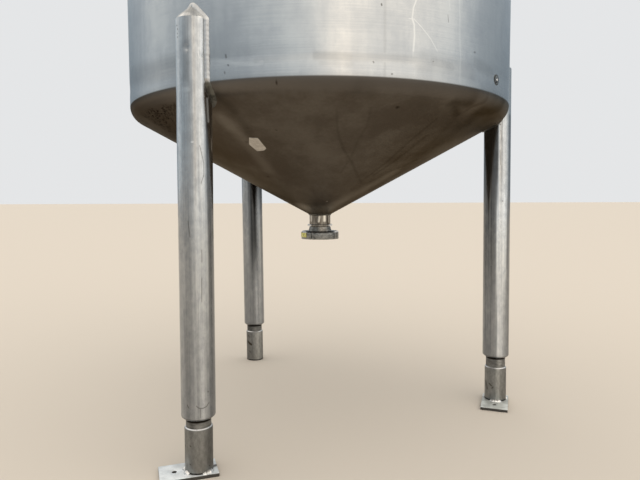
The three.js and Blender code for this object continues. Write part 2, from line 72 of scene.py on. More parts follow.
# Vessel
SHELL_R = 0.8
WALL = 0.004
KNUCKLE_R = 0.054
BOTTOM_SLOPE = radians(28.36)
TOP_SLOPE = radians(15)
FLANGE_H = 0.064
FLANGE_STEPS = 8
KNUCKLE_STEPS = 12
BOTTOM_SEAM_Z, TOP_SEAM_Z = span("shell_plate_1")
BOTTOM_TANGENT_Z = BOTTOM_SEAM_Z - FLANGE_H
TOP_TANGENT_Z = TOP_SEAM_Z + FLANGE_H
SEAM_AZIMUTH = radians(-75.5)
SEAM_DIP = 0.0012
SEAM_DIP_H = 0.022
FINE_BAND_H = 0.25  # above the lower seam, where the shell is finely divided
BOSS_R = 0.019
BOSS_T = 0.001
BOSS_STUD_R = 0.0038
BOSS_STUD_H = 0.0026
LABEL_FACES = (0.0005, -0.0003)  # its front and back, off the bottom end
PLATES = 3
PLATE_SWEEP = TURN / PLATES
GAP = 0.0003  # between two pieces that touch
FIT = 0.0006  # between a ring and the tube inside it
LAP = 0.0005  # how far a tube runs into the ring on its end
TUBE_SINK = 0.006  # how far a tube runs into the top end
PLATE_BEVEL = 0.0012  # on the edges of base plates and lugs

# Legs and feet: azimuth, and how far to +X a leg's axis stands at the ground and at LEAN_H
LEGS = {
    "left": (radians(-120.86), -0.004, 0.0025),
    "right": (radians(-0.86), 0.007, -0.0065),
    "back": (radians(119.14), 0.004, -0.006),
}
LEAN_H = 1.4
LEG_R = 0.05715
LEG_WALL = 0.003
LEG_CIRCLE_R = 0.7953
LEG_CAP_Z = span("leg_cap_left")[0]
LEG_CHAMFER = 0.01
NECK_R = 0.042
NECK_WALL = 0.006
SLEEVE_R = 0.047
SLEEVE_CHAMFER = 0.004

# Base plates: the way their far end points, and its distance and side step from the leg's axis
PLATE_L = 0.192
PLATE_W = 0.113
PLATE_T = 0.012
PLATE_HOLE_IN = 0.05
PLATE_HOLE_R = 0.008
BASE_PLATES = {
    "left": (radians(198.7), 0.132, -0.003),
    "right": (radians(-109.5), 0.141, 0.0),
}

# Welds, as widths on the one part and the other, or the same on both
BEAD_BULGE = 0.22  # a bead's, as a share of its width
BEAD_SINK = 0.0012  # how far a bead runs into the parts
LEG_WELD = (0.006, 0.006)
LEG_WELD_SWELL = 0.014  # more, under the knuckle
LEG_WELD_SWELL_Z = BOTTOM_TANGENT_Z - 0.032
LEG_WELD_SWELL_H = 0.034
LEG_SIDE_WELD = (0.0125, 0.0088)
CAP_WELD_W = (0.006, 0.011)  # on the shell, at its two ends
CAP_WELD_SHARE = 0.7  # of that, on the cap
FOOT_WELD = (0.0085, 1.15)  # width on the plate, and its share on the sleeve
STUB_WELD = (0.004, 0.006)
RING_WELD_W = 0.007
NOZZLE_WELD_W = 0.006
LUG_WELD_W = 0.006

# Outlet and inlet unions, hanging from the liner's top
STUB_R = 0.047
STUB_WALL = 0.003
COLLAR_R = 0.056
COLLAR_H = 0.008
LINER_TOP_R = 0.046
LINER_R = 0.052
LINER_LIP_R = 0.062
LINER_H = 0.057
NUT_DROP = 0.0297
NUT_H = 0.0355
NUT_R = 0.084
NUT_BORE_R = 0.0665
NUT_SLOT_AZIMUTH = radians(-115.7)
TAG_H = 0.02
TAG_DROP = 0.007
TAG_OUT = 0.0013
TAG_CURL = 0.0004
TAG_SWEEP = (radians(-182), radians(-136))

# Top fittings and drive
MANWAY_PLACE = AXIS + Vector((0, -0.49, 0))
MANWAY_R = 0.225
MANWAY_RIM_R = 0.239
MANWAY_RIM_T = 0.01
RIM_Z = span("manway_neck")[1]
LID_T = 0.012
UNDER_RIM_Z = RIM_Z - MANWAY_RIM_T - GAP
LID_TOP_Z = RIM_Z + LID_T + GAP
LID_DOME_R = 0.205
LID_DOME_H = 0.048
CLAMP_AZIMUTHS = (radians(-80), radians(180), radians(80))
PAD_R = 0.15
PAD_FLANGE_R = 0.185
PAD_FLANGE_T = 0.02
PAD_TOP_Z = span("agitator_pad")[1]
LANTERN_R = 0.11
LANTERN_HEAD_R = 0.13
FLANGE_T = 0.016
SHAFT_R = 0.025
MOTOR_FLANGE_R = 0.121
MOTOR_R = 0.108
COWL_R = 0.113
COWL_H = 0.082
NOZZLE_AZIMUTH = radians(62)
NOZZLE_PLACE = AXIS + Vector((cos(NOZZLE_AZIMUTH), sin(NOZZLE_AZIMUTH), 0)) * 0.52
NOZZLE_TOP_Z = 3.16
CAP_DISC_T = 0.008
LUG_OUT = 0.655
LUG_W = 0.11
LUG_H = 0.12
LUG_T = 0.015
LUG_EYE_R = 0.022
HANDLE_R = 0.0068
HANDLE_BEND = ((0.06, -0.002), (0.06, 0.018), (0.056, 0.031), (0.045, 0.036))
CLAMP_OUT = MANWAY_RIM_R + 0.01
KNOB_LINE = (
    (0.0062, GAP), (0.012, GAP, 0.001), (0.013, 0.006, 0.003), (0.019, 0.009, 0.002),
    (0.019, 0.018, 0.003), (0.012, 0.022, 0.001), (0.0062, 0.022),
)
HINGE_OUT = MANWAY_RIM_R + 0.024
STRAP_T = 0.008
STOOL_BOLTS_R = 0.168
COUPLING_R = 0.05
COUPLING_H = 0.09
CASING_R = 0.112
CASING_WAIST_R = 0.104
CASING_BOLTS_R = 0.12
RIBS = 8
RIB_T = 0.008
FINS = 36
FIN_T = 0.0028
GRILLE = ((0.06, 0.048), (0.04, 0.028), (0.018, 0.008))
GRILLE_DEPTH = 0.004
BOX_SCREW_IN = 0.011

# Camera: a pinhole in the photograph's frame
PHOTO_MIDDLE = (320.0, 240.0)
FOCAL_PX = 555.03
SENSOR = 0.036
CAMERA_PLACE = AXIS + Vector((-0.0002, -2.508, 0.9102))
CAMERA_PITCH = radians(3.8615)
CAMERA_ROLL = 0.00342

# Marks that the photograph shows, as lines of pixels with a half width in metres and a strength
# Light marks on the shell: scratches, and a painted reflection band along the lower seam
SHELL_LIGHT_MARKS = (
    (((416.4, 0), (413.4, 8), (412.9, 13), (412.2, 18)), 0.0024, 0.6),
    (((412.2, 18), (414.3, 25), (414.6, 36), (413.4, 51)), 0.003, 0.65),
    (((413.4, 51), (413.2, 57)), 0.003, 0.2),
    (((409, 18.2), (412.6, 19.2)), 0.0016, 0.5),
    (((413.8, 18.7), (422.5, 28), (430.5, 38.5), (437.3, 51)), 0.0013, 0.6),
    (((459.7, 0), (459.9, 40), (460.8, 60), (459.6, 82)), 0.0034, 0.3),
    (((449.5, 0), (450, 10)), 0.002, 0.3),
    (((205, 60.5), (216, 59.5), (236, 63.5), (256, 64.5), (262, 62)), 0.006, 0.25),
    (((461, 80.5), (479, 87)), 0.011, 0.22),
)
# Dark marks on the shell: specks and stains, and painted shade bands along the lower seam and the flange's
# lower edge
SHELL_DARK_MARKS = (
    (((381.5, 4), (381.7, 5.2)), 0.0024, 0.7),
    (((373.3, 61.5), (373.8, 62.5)), 0.002, 0.6),
    (((128, 79), (150, 73), (173, 67)), 0.036, 0.24),
    (((256, 60.5), (316, 55.5)), 0.01, 0.08),
    (((316, 55.5), (350, 57)), 0.013, 0.24),
    (((322, 61), (350, 63)), 0.012, 0.1),
    (((350, 57), (402, 58.5), (440, 63)), 0.012, 0.16),
    (((424, 64), (470, 73)), 0.034, 0.15),
    (((434, 62), (452, 67)), 0.018, 0.22),
    (((476, 64), (491, 73)), 0.02, 0.12),
    (((391.5, 74), (392.5, 74)), 0.002, 0.6),
    (((433.2, 61.5), (433.8, 61.5)), 0.002, 0.6),
    (((448, 15), (448.5, 22)), 0.0012, 0.5),
    (((474.2, 52.3), (475.2, 52.3)), 0.003, 0.4),
    (((225.5, 55), (225.9, 57.2)), 0.003, 0.5),
    (((227.8, 64.6), (228.2, 65.6)), 0.0024, 0.55),
    (((224.5, 72), (224.8, 73.2)), 0.0026, 0.45),
)
# Dark marks on the bottom end: smears and specks, and painted shade beside the left and right legs
CONE_DARK_MARKS = (
    (((436.3, 118.8), (412.5, 138.8), (387.5, 161.3), (366, 178)), 0.006, 0.28),
    (((427.5, 135), (407.5, 151.3), (392.5, 162.5), (374, 175)), 0.006, 0.28),
    (((421.3, 157.5), (400, 167.5), (387.5, 172.5), (370, 182)), 0.005, 0.26),
    (((456, 117.5), (445, 128.8), (437.5, 137.5), (421, 152)), 0.012, 0.12),
    (((492, 106), (468, 123), (442, 142), (432, 148)), 0.04, 0.26),
    (((479, 112), (498, 110)), 0.03, 0.5),
    (((453.5, 102.8), (470, 103.5)), 0.02, 0.5),
    (((455, 106.5), (457, 115)), 0.014, 0.45),
    (((464, 112), (473, 106), (486, 100.5)), 0.008, 0.3),
    (((336.3, 110), (337.5, 130), (342.5, 147.5), (351.3, 161.3), (361, 182)), 0.0045, 0.2),
    (((371.3, 107.5), (367.5, 125), (358.8, 138.8), (351.3, 157.5), (341, 172.5)), 0.0045, 0.14),
    (((359, 92), (369, 94)), 0.02, 0.2),
    (((217, 94), (229, 106), (244, 124), (256, 146)), 0.015, 0.26),
    (((246, 142), (247.5, 142)), 0.004, 0.7),
    (((276.3, 83.0), (276.8, 83.1)), 0.0022, 0.9),
    (((397.3, 107.2), (397.7, 107.4)), 0.005, 0.9),
    (((267.5, 176.6), (268.5, 176.8)), 0.004, 0.7),
    (((247.2, 128.0), (248.0, 128.2)), 0.003, 0.5),
    (((261.0, 156.2), (261.6, 156.4)), 0.003, 0.6),
    (((276.0, 130.0), (276.6, 130.3)), 0.003, 0.5),
)
# Light marks on the bottom end: a speck, a faint band, and painted light on the lower end beside the outlet
CONE_LIGHT_MARKS = (
    (((326.5, 201.5), (327.5, 201.5)), 0.002, 0.8),
    (((221, 117), (236, 131), (252, 148), (268, 170)), 0.024, 0.13),
    (((304, 207.5), (312, 210), (320, 210), (327, 209)), 0.028, 0.46),
    (((337, 204), (352, 196), (372, 185), (392, 173.5)), 0.03, 0.18),
)
# Dark marks on the legs: pits, scratches and scuffs; on the left leg also painted shade: the shadow line at
# the weld's toe, the dent's reflection and the dark end of its reflection band
LEG_DARK_MARKS = {
    "left": (
        (((199.7, 145.6), (203.8, 163.4), (203.8, 175), (201.1, 183.3)), 0.0014, 0.45),
        (((188, 221), (190, 237)), 0.0014, 0.5),
        (((201.8, 250), (202, 262)), 0.0012, 0.5),
        (((201.8, 278), (201.8, 302)), 0.0012, 0.5),
        (((196.5, 406.3), (199, 408.3), (203, 408.3), (206.5, 406.5), (209, 402.5)), 0.0015, 0.6),
        (((200.6, 409), (200.6, 418)), 0.0012, 0.5),
        (((187.2, 405), (188.6, 408)), 0.0014, 0.7),
        (((207.9, 391.8), (208.4, 391.8)), 0.0018, 0.7),
        (((203.4, 20), (203.4, 78)), 0.001, 0.35),
        (((185.0, 46.0), (186.6, 46.5)), 0.005, 0.1),
        (((184.2, 42), (185.2, 83)), 0.013, 0.13),
        (((176.8, 25.3), (176.8, 25.8)), 0.0018, 0.9),
        (((177.5, 28.8), (177.5, 29.3)), 0.0018, 0.9),
        (((177.3, 33.3), (177.3, 33.8)), 0.0018, 0.9),
        (((177.4, 36.8), (177.4, 37.3)), 0.0018, 0.9),
    ),
    "right": (
        (((501, 130), (501.5, 140)), 0.0016, 0.4),
        (((500, 150), (500.5, 165)), 0.0014, 0.4),
        (((502.3, 201), (502.8, 201)), 0.002, 0.8),
        (((497.5, 123), (500.5, 124.5)), 0.003, 0.6),
    ),
    "back": (
        (((252, 330), (252.4, 330)), 0.002, 0.1),
    ),
}
# Light marks on the legs: scratches, and on the left leg painted highlights on its dent and below its dark
# reflection band
LEG_LIGHT_MARKS = {
    "left": (
        (((186.0, 49.8), (187.0, 50.2)), 0.003, 0.35),
        (((182.5, 89.5), (188, 89.5)), 0.007, 0.18),
        (((198, 52), (199.5, 58)), 0.0014, 0.5),
        (((206.3, 59), (206.7, 61)), 0.0014, 0.5),
        (((199, 89), (199.2, 91)), 0.0014, 0.4),
        (((191.3, 142), (192.7, 142)), 0.0026, 0.5),
    ),
    "right": (
        (((487.5, 122.5), (494.5, 121.2)), 0.003, 0.7),
    ),
    "back": (
        (((260, 210), (260, 290)), 0.002, 0.15),
    ),
}
# A painted sheen down the left leg's edge under the shell
LEG_SHEEN_MARKS = {
    "left": ((((207.2, 99), (207.7, 110), (208.2, 121)), 0.0046, 0.75),),
}
SLEEVE_DARK_MARKS = {
    "left": (
        (((190.3, 446), (190.8, 446.5)), 0.0018, 0.8),
        (((185.2, 444.8), (185.3, 446.5)), 0.002, 0.8),
        (((190.1, 464.2), (190.5, 464.8)), 0.0018, 0.8),
        (((209.3, 465.5), (209.7, 465.5)), 0.0018, 0.8),
    ),
    "right": (
        (((485.8, 381), (487, 388)), 0.005, 0.6),
        (((489.2, 383.5), (491.3, 385.6)), 0.003, 0.7),
        (((491.8, 388.2), (493, 387)), 0.0026, 0.6),
    ),
    "back": (
        (((248, 341.5), (251.2, 344.4)), 0.0064, 0.95),
        (((248.6, 335.5), (249.2, 337)), 0.005, 0.5),
        (((249, 350.5), (250.5, 352)), 0.004, 0.5),
    ),
}
LABEL_OUTLINE = (
    (249.1, 137.6), (257.7, 138.0), (266.2, 148.3), (264.2, 150.4), (257.3, 151.1), (249.1, 144.2),
)
LEG_DENTS = {
    "left": (((186.4, 47.0), 0.01, 0.002), ((203.0, 56.0), 0.008, 0.0015), ((186.0, 84.0), 0.016, 0.001)),
    "right": (((489.5, 262.0), 0.01, 0.0012),),
    "back": (),
}
# Arcs of the sleeves' foot welds, as front angles in degrees
FOOT_WELDS = {
    "left": ((-64, -30), (26, 80), (120, 285)),
    "right": ((-46, 16), (70, 110), (130, 250)),
}


# Camera and the places of photographed marks

def camera_axes():
    """Right, up and forward of the camera."""
    forward = Vector((0, cos(CAMERA_PITCH), -sin(CAMERA_PITCH)))
    level_up = Vector((0, sin(CAMERA_PITCH), cos(CAMERA_PITCH)))
    level_right = Vector((1, 0, 0))
    right = level_right * cos(CAMERA_ROLL) - level_up * sin(CAMERA_ROLL)
    up = level_right * sin(CAMERA_ROLL) + level_up * cos(CAMERA_ROLL)
    return right, up, forward


def pixel_ray(pixel):
    right, up, forward = camera_axes()
    across = pixel[0] - PHOTO_MIDDLE[0]
    down = pixel[1] - PHOTO_MIDDLE[1]
    return (forward * FOCAL_PX + right * across - up * down).normalized()


def front_place(pixel, axis, radius):
    """Where a pixel's ray first meets an upright cylinder: (front angle, height)."""
    ray = pixel_ray(pixel)
    start = CAMERA_PLACE - axis
    a = ray.x ** 2 + ray.y ** 2
    b = start.x * ray.x + start.y * ray.y
    c = start.x ** 2 + start.y ** 2 - radius ** 2
    reach = (-b - sqrt(max(b * b - a * c, 0.0))) / a
    spot = start + ray * reach
    return atan2(spot.x, -spot.y), spot.z


def tube_place(pixel, radius=SHELL_R):
    """A pixel on a tube about the tank's axis, as (arc from the front, height)."""
    front, z = front_place(pixel, AXIS, radius)
    return front * radius, z


def leg_place(side, pixel, radius=LEG_R):
    """A leg pixel as (arc from the front, height)."""
    front, z = 0.0, 1.0
    for _ in range(3):
        front, z = front_place(pixel, leg_axis(side, z), radius)
    return front * radius, z


def cone_place(pixel):
    """Where a pixel's ray meets the bottom end from below, by steps that halve near it."""
    ray = pixel_ray(pixel)
    reach, step = 1.5, 0.04
    for _ in range(80):
        spot = CAMERA_PLACE + ray * (reach + step)
        out = from_axis(spot)
        if out < SHELL_R and spot.z > bottom_z(out):
            step /= 2
        else:
            reach += step
    return CAMERA_PLACE + ray * reach


def add_camera():
    right, up, forward = camera_axes()
    data = bpy.data.cameras.new("photo_camera")
    data.sensor_width = SENSOR * 1000
    data.lens = FOCAL_PX / (2 * PHOTO_MIDDLE[0]) * data.sensor_width
    data.clip_end = 1500
    camera = new_object("photo_camera", data)
    turn = Matrix((right, up, -forward)).transposed()
    camera.matrix_world = Matrix.Translation(CAMERA_PLACE) @ turn.to_4x4()
    bpy.context.scene.camera = camera


# Node materials

def grey(level):
    return (level, level, level, 1.0)


class Nodes:
    """A node tree under construction. A value is a number, a colour or another node's output."""

    def __init__(self, tree):
        self.tree = tree

    def feed(self, socket, value):
        """Links a socket to another node's output, or sets it."""
        if isinstance(value, bpy.types.NodeSocket):
            self.tree.links.new(value, socket)
        else:
            socket.default_value = value

    def node(self, kind, inputs=(), output=0, **settings):
        made = self.tree.nodes.new(kind)
        for name, value in settings.items():
            setattr(made, name, value)
        for slot, value in inputs:
            self.feed(made.inputs[slot], value)
        return made.outputs[output]

    def math(self, operation, *values):
        return self.node("ShaderNodeMath", enumerate(values), operation=operation)

    def vector(self, operation, *values, output=0):
        return self.node("ShaderNodeVectorMath", enumerate(values), output, operation=operation)

    def times(self, a, b):
        return self.math("MULTIPLY", a, b)

    def plus(self, a, b):
        return self.math("ADD", a, b)

    def most(self, a, b):
        return self.math("MAXIMUM", a, b)

    def dot(self, a, b):
        return self.vector("DOT_PRODUCT", a, tuple(b), output="Value")

    def level(self, value, low, high):
        """A value as a share of the way from low to high."""
        return self.node("ShaderNodeMapRange", enumerate((value, low, high)))

    def ease(self, value, low, high, out_low=0.0, out_high=1.0):
        """A smooth step between two values."""
        inputs = enumerate((value, low, high, out_low, out_high))
        return self.node("ShaderNodeMapRange", inputs, interpolation_type="SMOOTHSTEP")

    def mix(self, share, a, b, blend_type="MIX"):
        inputs = ((0, share), (6, a), (7, b))
        return self.node("ShaderNodeMix", inputs, 2, data_type="RGBA", blend_type=blend_type)

    def blend(self, value, a, b, low=0.35, high=0.65):
        """A colour where a value is low, another where it is high, and a mix between."""
        return self.mix(self.ease(value, low, high), a, b)

    def tinted(self, colour, tone):
        return self.mix(1.0, colour, tone, "MULTIPLY")


class Finish(Nodes):
    """The node material of a surface."""

    def __init__(self, name, metallic=1.0):
        self.material = bpy.data.materials.new(name)
        self.material.use_nodes = True
        super().__init__(self.material.node_tree)
        self.bsdf = self.tree.nodes["Principled BSDF"]
        self.set("Metallic", metallic)
        coordinates = self.tree.nodes.new("ShaderNodeTexCoord")
        self.place = coordinates.outputs["Object"]
        self.normal = coordinates.outputs["Normal"]

    def set(self, name, value):
        """Links or sets one of the shader's own inputs."""
        self.feed(self.bsdf.inputs[name], value)

    def height(self):
        return self.dot(self.place, UP)

    def plan(self):
        """The place on the ground, with no height."""
        return self.vector("MULTIPLY", self.place, (1.0, 1.0, 0.0))

    def mapped(self, scale, place=None, offset=0.0):
        """A place times a scale in cycles a metre, one number or one for each direction."""
        if not isinstance(scale, tuple):
            scale = (scale, scale, scale)
        inputs = (("Vector", place or self.place), ("Scale", scale), ("Location", (offset, 0, 0)))
        return self.node("ShaderNodeMapping", inputs)

    def grain(self, scale, detail=4.0, roughness=0.6, place=None, offset=0.0):
        """Noise of 0 to 1."""
        moved = self.mapped(scale, place, offset)
        inputs = (("Vector", moved), ("Scale", 1.0), ("Detail", detail), ("Roughness", roughness))
        return self.node("ShaderNodeTexNoise", inputs)

    def spots(self, scale, size):
        """A mask of round specks, about one for each cell of the scale."""
        inputs = (("Vector", self.mapped(scale)), ("Scale", 1.0))
        return self.ease(self.node("ShaderNodeTexVoronoi", inputs, "Distance"), size, size * 0.4)

    def unrolled(self, axis, radius, slope=0.0):
        """An upright cylinder's surface laid flat: arc from the front, height, zero."""
        offset = self.vector("SUBTRACT", self.place, tuple(axis))
        x = self.dot(offset, (1.0, 0.0, -slope))
        forward = self.dot(offset, (0.0, -1.0, 0.0))
        arc = self.times(self.math("ARCTAN2", x, forward), radius)
        return self.node("ShaderNodeCombineXYZ", enumerate((arc, self.height(), 0.0)))

    def facing(self, radius, middle, half, soft):
        """A mask on a tube about the tank's axis: what is within a half angle of the middle, in degrees."""
        offset = self.vector("SUBTRACT", self.place, tuple(AXIS))
        cosine = self.dot(offset, front_vector(radians(middle)) / radius)
        outer, inner = (cos(radians(angle)) for angle in (half + soft, half - soft))
        return self.ease(cosine, outer, inner)

    def tones(self, flat, radius, stops):
        """A tone that changes round an upright cylinder, from (front angle in degrees, tone) stops."""
        arc = self.dot(flat, (1.0, 0.0, 0.0))
        half = pi * radius
        shown = self.node("ShaderNodeValToRGB", ((0, self.level(arc, -half, half)),))
        ramp = shown.node.color_ramp
        ramp.interpolation = "EASE"
        ends = ((-180, stops[0][1]), *stops, (180, stops[-1][1]))
        while len(ramp.elements) < len(ends):
            ramp.elements.new(1.0)
        for element, (front, tone) in zip(ramp.elements, ends):
            element.position = (front + 180) / 360
            element.color = grey(tone)
        return shown

    def near_line(self, flat, points, half_width, softness=0.6):
        """A mask along a line of (x, y) points on a flat or unrolled surface."""
        mask = None
        for start, end in zip(points, points[1:]):
            a = Vector((*start, 0.0))
            run = Vector((*end, 0.0)) - a
            offset = self.vector("SUBTRACT", flat, tuple(a))
            along = self.dot(offset, run / max(run.length_squared, 1e-12))
            along = self.math("MINIMUM", self.most(along, 0.0), 1.0)
            foot = self.node("ShaderNodeVectorMath", ((0, tuple(run)), ("Scale", along)), operation="SCALE")
            distance = self.vector("DISTANCE", offset, foot, output="Value")
            part = self.ease(distance, half_width * (1 + softness), half_width * (1 - softness))
            mask = part if mask is None else self.most(mask, part)
        return mask

    def marks(self, flat, marks, to_flat, softness=0.6):
        """One mask of many marks on a flat or unrolled surface."""
        total = 0.0
        for pixels, half_width, strength in marks:
            line = self.near_line(flat, [to_flat(pixel) for pixel in pixels], half_width, softness)
            total = self.most(total, self.times(line, strength))
        return total

    def bump(self, height, strength, distance):
        inputs = (("Height", height), ("Strength", strength), ("Distance", distance))
        self.set("Normal", self.node("ShaderNodeBump", inputs))

    def done(self, colour, rough):
        self.set("Base Color", colour)
        self.set("Roughness", rough)
        return self.material


# Mesh forms

def turns(count, start=0.0):
    """Angles spread evenly once round."""
    return [start + TURN * step / count for step in range(count)]


class Form:
    """Vertices and faces of one piece, gathered from closed forms."""

    def __init__(self):
        self.vertices = []
        self.faces = []

    def add(self, vertices, faces, place=None):
        first = len(self.vertices)
        if place is not None:
            vertices = [place @ Vector(v) for v in vertices]
        self.vertices += [tuple(v) for v in vertices]
        self.faces += [tuple(first + index for index in face) for face in faces]
        return self

    def grid(self, points, wrap_rows=False, wrap_columns=False, place=None):
        """A net of rows of points, closed round where it wraps."""
        rows, columns = len(points), len(points[0])
        flat = [p for row in points for p in row]
        faces = []
        for row in range(rows if wrap_rows else rows - 1):
            for column in range(columns if wrap_columns else columns - 1):
                next_row = (row + 1) % rows
                next_column = (column + 1) % columns
                faces.append((
                    row * columns + column,
                    row * columns + next_column,
                    next_row * columns + next_column,
                    next_row * columns + column,
                ))
        return self.add(flat, faces, place)

    def sheet(self, outer, inner):
        """A sheet with thickness between two nets of the same size."""
        self.grid(outer)
        self.grid(inner)
        for row in (0, -1):
            self.grid([outer[row], inner[row]])
        for column in (0, -1):
            self.grid([[row[column] for row in net] for net in (outer, inner)])
        return self

    def lathe(self, profile, steps, place=None):
        """A closed profile of (radius, height) turned about the vertical axis."""
        rows = [[(r * cos(a), r * sin(a), z) for r, z in profile] for a in turns(steps)]
        return self.grid(rows, wrap_rows=True, wrap_columns=profile[0][0] > 0, place=place)

    def sweep(self, rows, closed=False, place=None):
        """A skin over closed sections, with both ends shut unless it closes on itself."""
        self.grid(rows, wrap_rows=closed, wrap_columns=True, place=place)
        if not closed:
            count = len(rows[0])
            end = len(self.vertices)
            start = end - count * len(rows)
            self.faces.append(tuple(range(start, start + count)))
            self.faces.append(tuple(reversed(range(end - count, end))))
        return self

    def pipe(self, path, radius, steps=12, place=None):
        """A round bar along a path of points."""
        path = [Vector(point) for point in path]
        rows = []
        side = None
        for number, point in enumerate(path):
            before = path[max(number - 1, 0)]
            after = path[min(number + 1, len(path) - 1)]
            along = (after - before).normalized()
            side = (side or along.orthogonal()).normalized()
            side = (side - along * side.dot(along)).normalized()
            across = along.cross(side)
            rows.append([point + (side * cos(a) + across * sin(a)) * radius for a in turns(steps)])
        return self.sweep(rows, place=place)

    def rod(self, start, end, radius, steps=20, edge=0.0, place=None):
        """A round bar between two points, with its edges rounded."""
        start, end = Vector(start), Vector(end)
        length = (end - start).length
        profile = rounded([(0, 0), (radius, 0, edge), (radius, length, edge), (0, length)])
        stand = pointing(start, end - start)
        return self.lathe(profile, steps, place @ stand if place else stand)

    def block(self, low, high, edge, place=None):
        """A block between two corners, with its edges rounded."""
        low, high = Vector(low), Vector(high)
        size = Vector([abs(length) for length in high - low])
        mesh = bmesh.new()
        bmesh.ops.create_cube(mesh, size=1.0)
        bmesh.ops.scale(mesh, vec=size, verts=mesh.verts)
        bmesh.ops.bevel(mesh, geom=mesh.edges[:], offset=edge, segments=3, affect="EDGES", profile=0.5)
        bmesh.ops.translate(mesh, vec=(low + high) / 2, verts=mesh.verts)
        return self.take(mesh, place)

    def hex_bolt(self, spot, across, head, washer, place):
        """A hexagon head on a washer, standing on a spot."""
        stand = place @ Matrix.Translation(spot)
        r, top = across * 0.62, washer
        self.lathe(rounded([(0, 0), (r, 0), (r, top, 0.0005), (0, top)]), 24, stand)
        r, top = across / sqrt(3), washer + head
        line = [(0, washer), (r, washer), (r, top - 0.001), (r - 0.0015, top), (0, top)]
        return self.lathe(line, 6, stand)

    def take(self, mesh, place=None):
        """Adds a bmesh and frees it."""
        mesh.verts.index_update()
        vertices = [v.co.copy() for v in mesh.verts]
        faces = [[v.index for v in face.verts] for face in mesh.faces]
        mesh.free()
        return self.add(vertices, faces, place)

    def flat_plate(self, outlines, thickness, bevel, place=None):
        """A flat plate from closed outlines of (x, y), the later ones being holes."""
        curve = bpy.data.curves.new("outline", "CURVE")
        curve.dimensions = "2D"
        curve.fill_mode = "BOTH"
        curve.extrude = thickness / 2 - bevel
        curve.bevel_depth = bevel
        curve.bevel_resolution = 2
        curve.offset = -bevel
        for outline in outlines:
            spline = curve.splines.new("POLY")
            spline.points.add(len(outline) - 1)
            for point, (x, y) in zip(spline.points, outline):
                point.co = (x, y, 0, 1)
            spline.use_cyclic_u = True
        holder = bpy.data.objects.new("outline", curve)
        made = bpy.data.meshes.new_from_object(holder)
        mesh = bmesh.new()
        mesh.from_mesh(made)
        bmesh.ops.remove_doubles(mesh, verts=mesh.verts, dist=1e-6)
        bpy.data.objects.remove(holder)
        bpy.data.meshes.remove(made)
        return self.take(mesh, place)

    def mesh(self, name):
        mesh = bpy.data.meshes.new(name)
        mesh.from_pydata(self.vertices, [], self.faces)
        tidy = bmesh.new()
        tidy.from_mesh(mesh)
        bmesh.ops.remove_doubles(tidy, verts=tidy.verts, dist=2e-6)
        bmesh.ops.dissolve_degenerate(tidy, edges=tidy.edges, dist=1e-6)
        bmesh.ops.recalc_face_normals(tidy, faces=tidy.faces)
        tidy.to_mesh(mesh)
        tidy.free()
        return mesh


SHARP = radians(38)


def add_piece(name, form, material, slot, *nodes, cut=()):
    """Makes a piece that rides on the tank, less the forms in cut, in the place of CAD nodes."""
    piece = new_object(name, form.mesh(name))
    if cut:
        carve(piece, cut)
    piece.data.materials.append(material)
    piece.data.shade_smooth()
    piece.data.set_sharp_from_angle(angle=SHARP)
    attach(piece, "root")
    if nodes:
        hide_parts(*nodes)


def carve(piece, forms):
    """Takes closed forms away from a piece."""
    cutters = []
    for form in forms:
        cutter = new_object("cutter", form.mesh("cutter"))
        modifier = piece.modifiers.new("cut", "BOOLEAN")
        modifier.object = cutter
        modifier.solver = "EXACT"
        cutters.append(cutter)
    bpy.context.view_layer.update()
    seen = piece.evaluated_get(bpy.context.evaluated_depsgraph_get())
    piece.data = bpy.data.meshes.new_from_object(seen)
    piece.modifiers.clear()
    for cutter in cutters:
        bpy.data.objects.remove(cutter)


def rounded(corners, steps=4):
    """A profile of (r, z) or (r, z, bend) corners, with the bends as curves."""
    line = []
    count = len(corners)
    for number, (r, z, *bend) in enumerate(corners):
        here = Vector((r, z))
        if not bend or bend[0] <= 0:
            line.append(here)
            continue
        before = Vector(corners[number - 1][:2]) - here
        after = Vector(corners[(number + 1) % count][:2]) - here
        start = here + before.normalized() * min(bend[0], before.length * 0.49)
        end = here + after.normalized() * min(bend[0], after.length * 0.49)
        for step in range(steps + 1):
            share = step / steps
            line.append(start * (1 - share) ** 2 + here * 2 * share * (1 - share) + end * share ** 2)
    return [tuple(point) for point in line]


def front_vector(angle):
    """The level direction at a front angle."""
    return Vector((sin(angle), -cos(angle), 0))


def azimuth_vector(azimuth):
    return Vector((cos(azimuth), sin(azimuth), 0))


def from_axis(spot):
    """A spot's distance from the tank's axis."""
    return (spot - AXIS).xy.length


def outward(spot):
    """The level direction from the tank's axis to a spot."""
    return (spot - AXIS).xy.to_3d().normalized()


def upright(place, azimuth=0.0):
    """A local frame at a place, with its X at the azimuth."""
    return Matrix.Translation(place) @ Matrix.Rotation(azimuth, 4, "Z")


def pointing(place, direction):
    """A local frame at a place, with its Z along a direction."""
    return Matrix.Translation(place) @ UP.rotation_difference(direction).to_matrix().to_4x4()


def circle(radius, steps, middle):
    """Points round a circle."""
    return [(middle[0] + radius * cos(a), middle[1] + radius * sin(a)) for a in turns(steps)]


def bead_section(spot, side_a, side_b, leg_a, leg_b):
    """A weld's section in a corner: from one side to the other, bulging a little, and back inside."""
    out = (side_a + side_b).normalized()
    ends = [spot + side_a * leg_a, spot + side_b * leg_b]
    arc = []
    for share in (0.25, 0.5, 0.75):
        bulge = BEAD_BULGE * min(leg_a, leg_b) * sin(pi * share)
        arc.append(ends[0].lerp(ends[1], share) + out * bulge)
    return [ends[0], *arc, ends[1], spot - out * BEAD_SINK]


def unevenness(spot, number):
    """A weld's width at a spot, as a share of its normal width."""
    return 1 + 0.06 * sin(number * 2.1) + 0.16 * noise.noise(spot * 35)


# Vessel

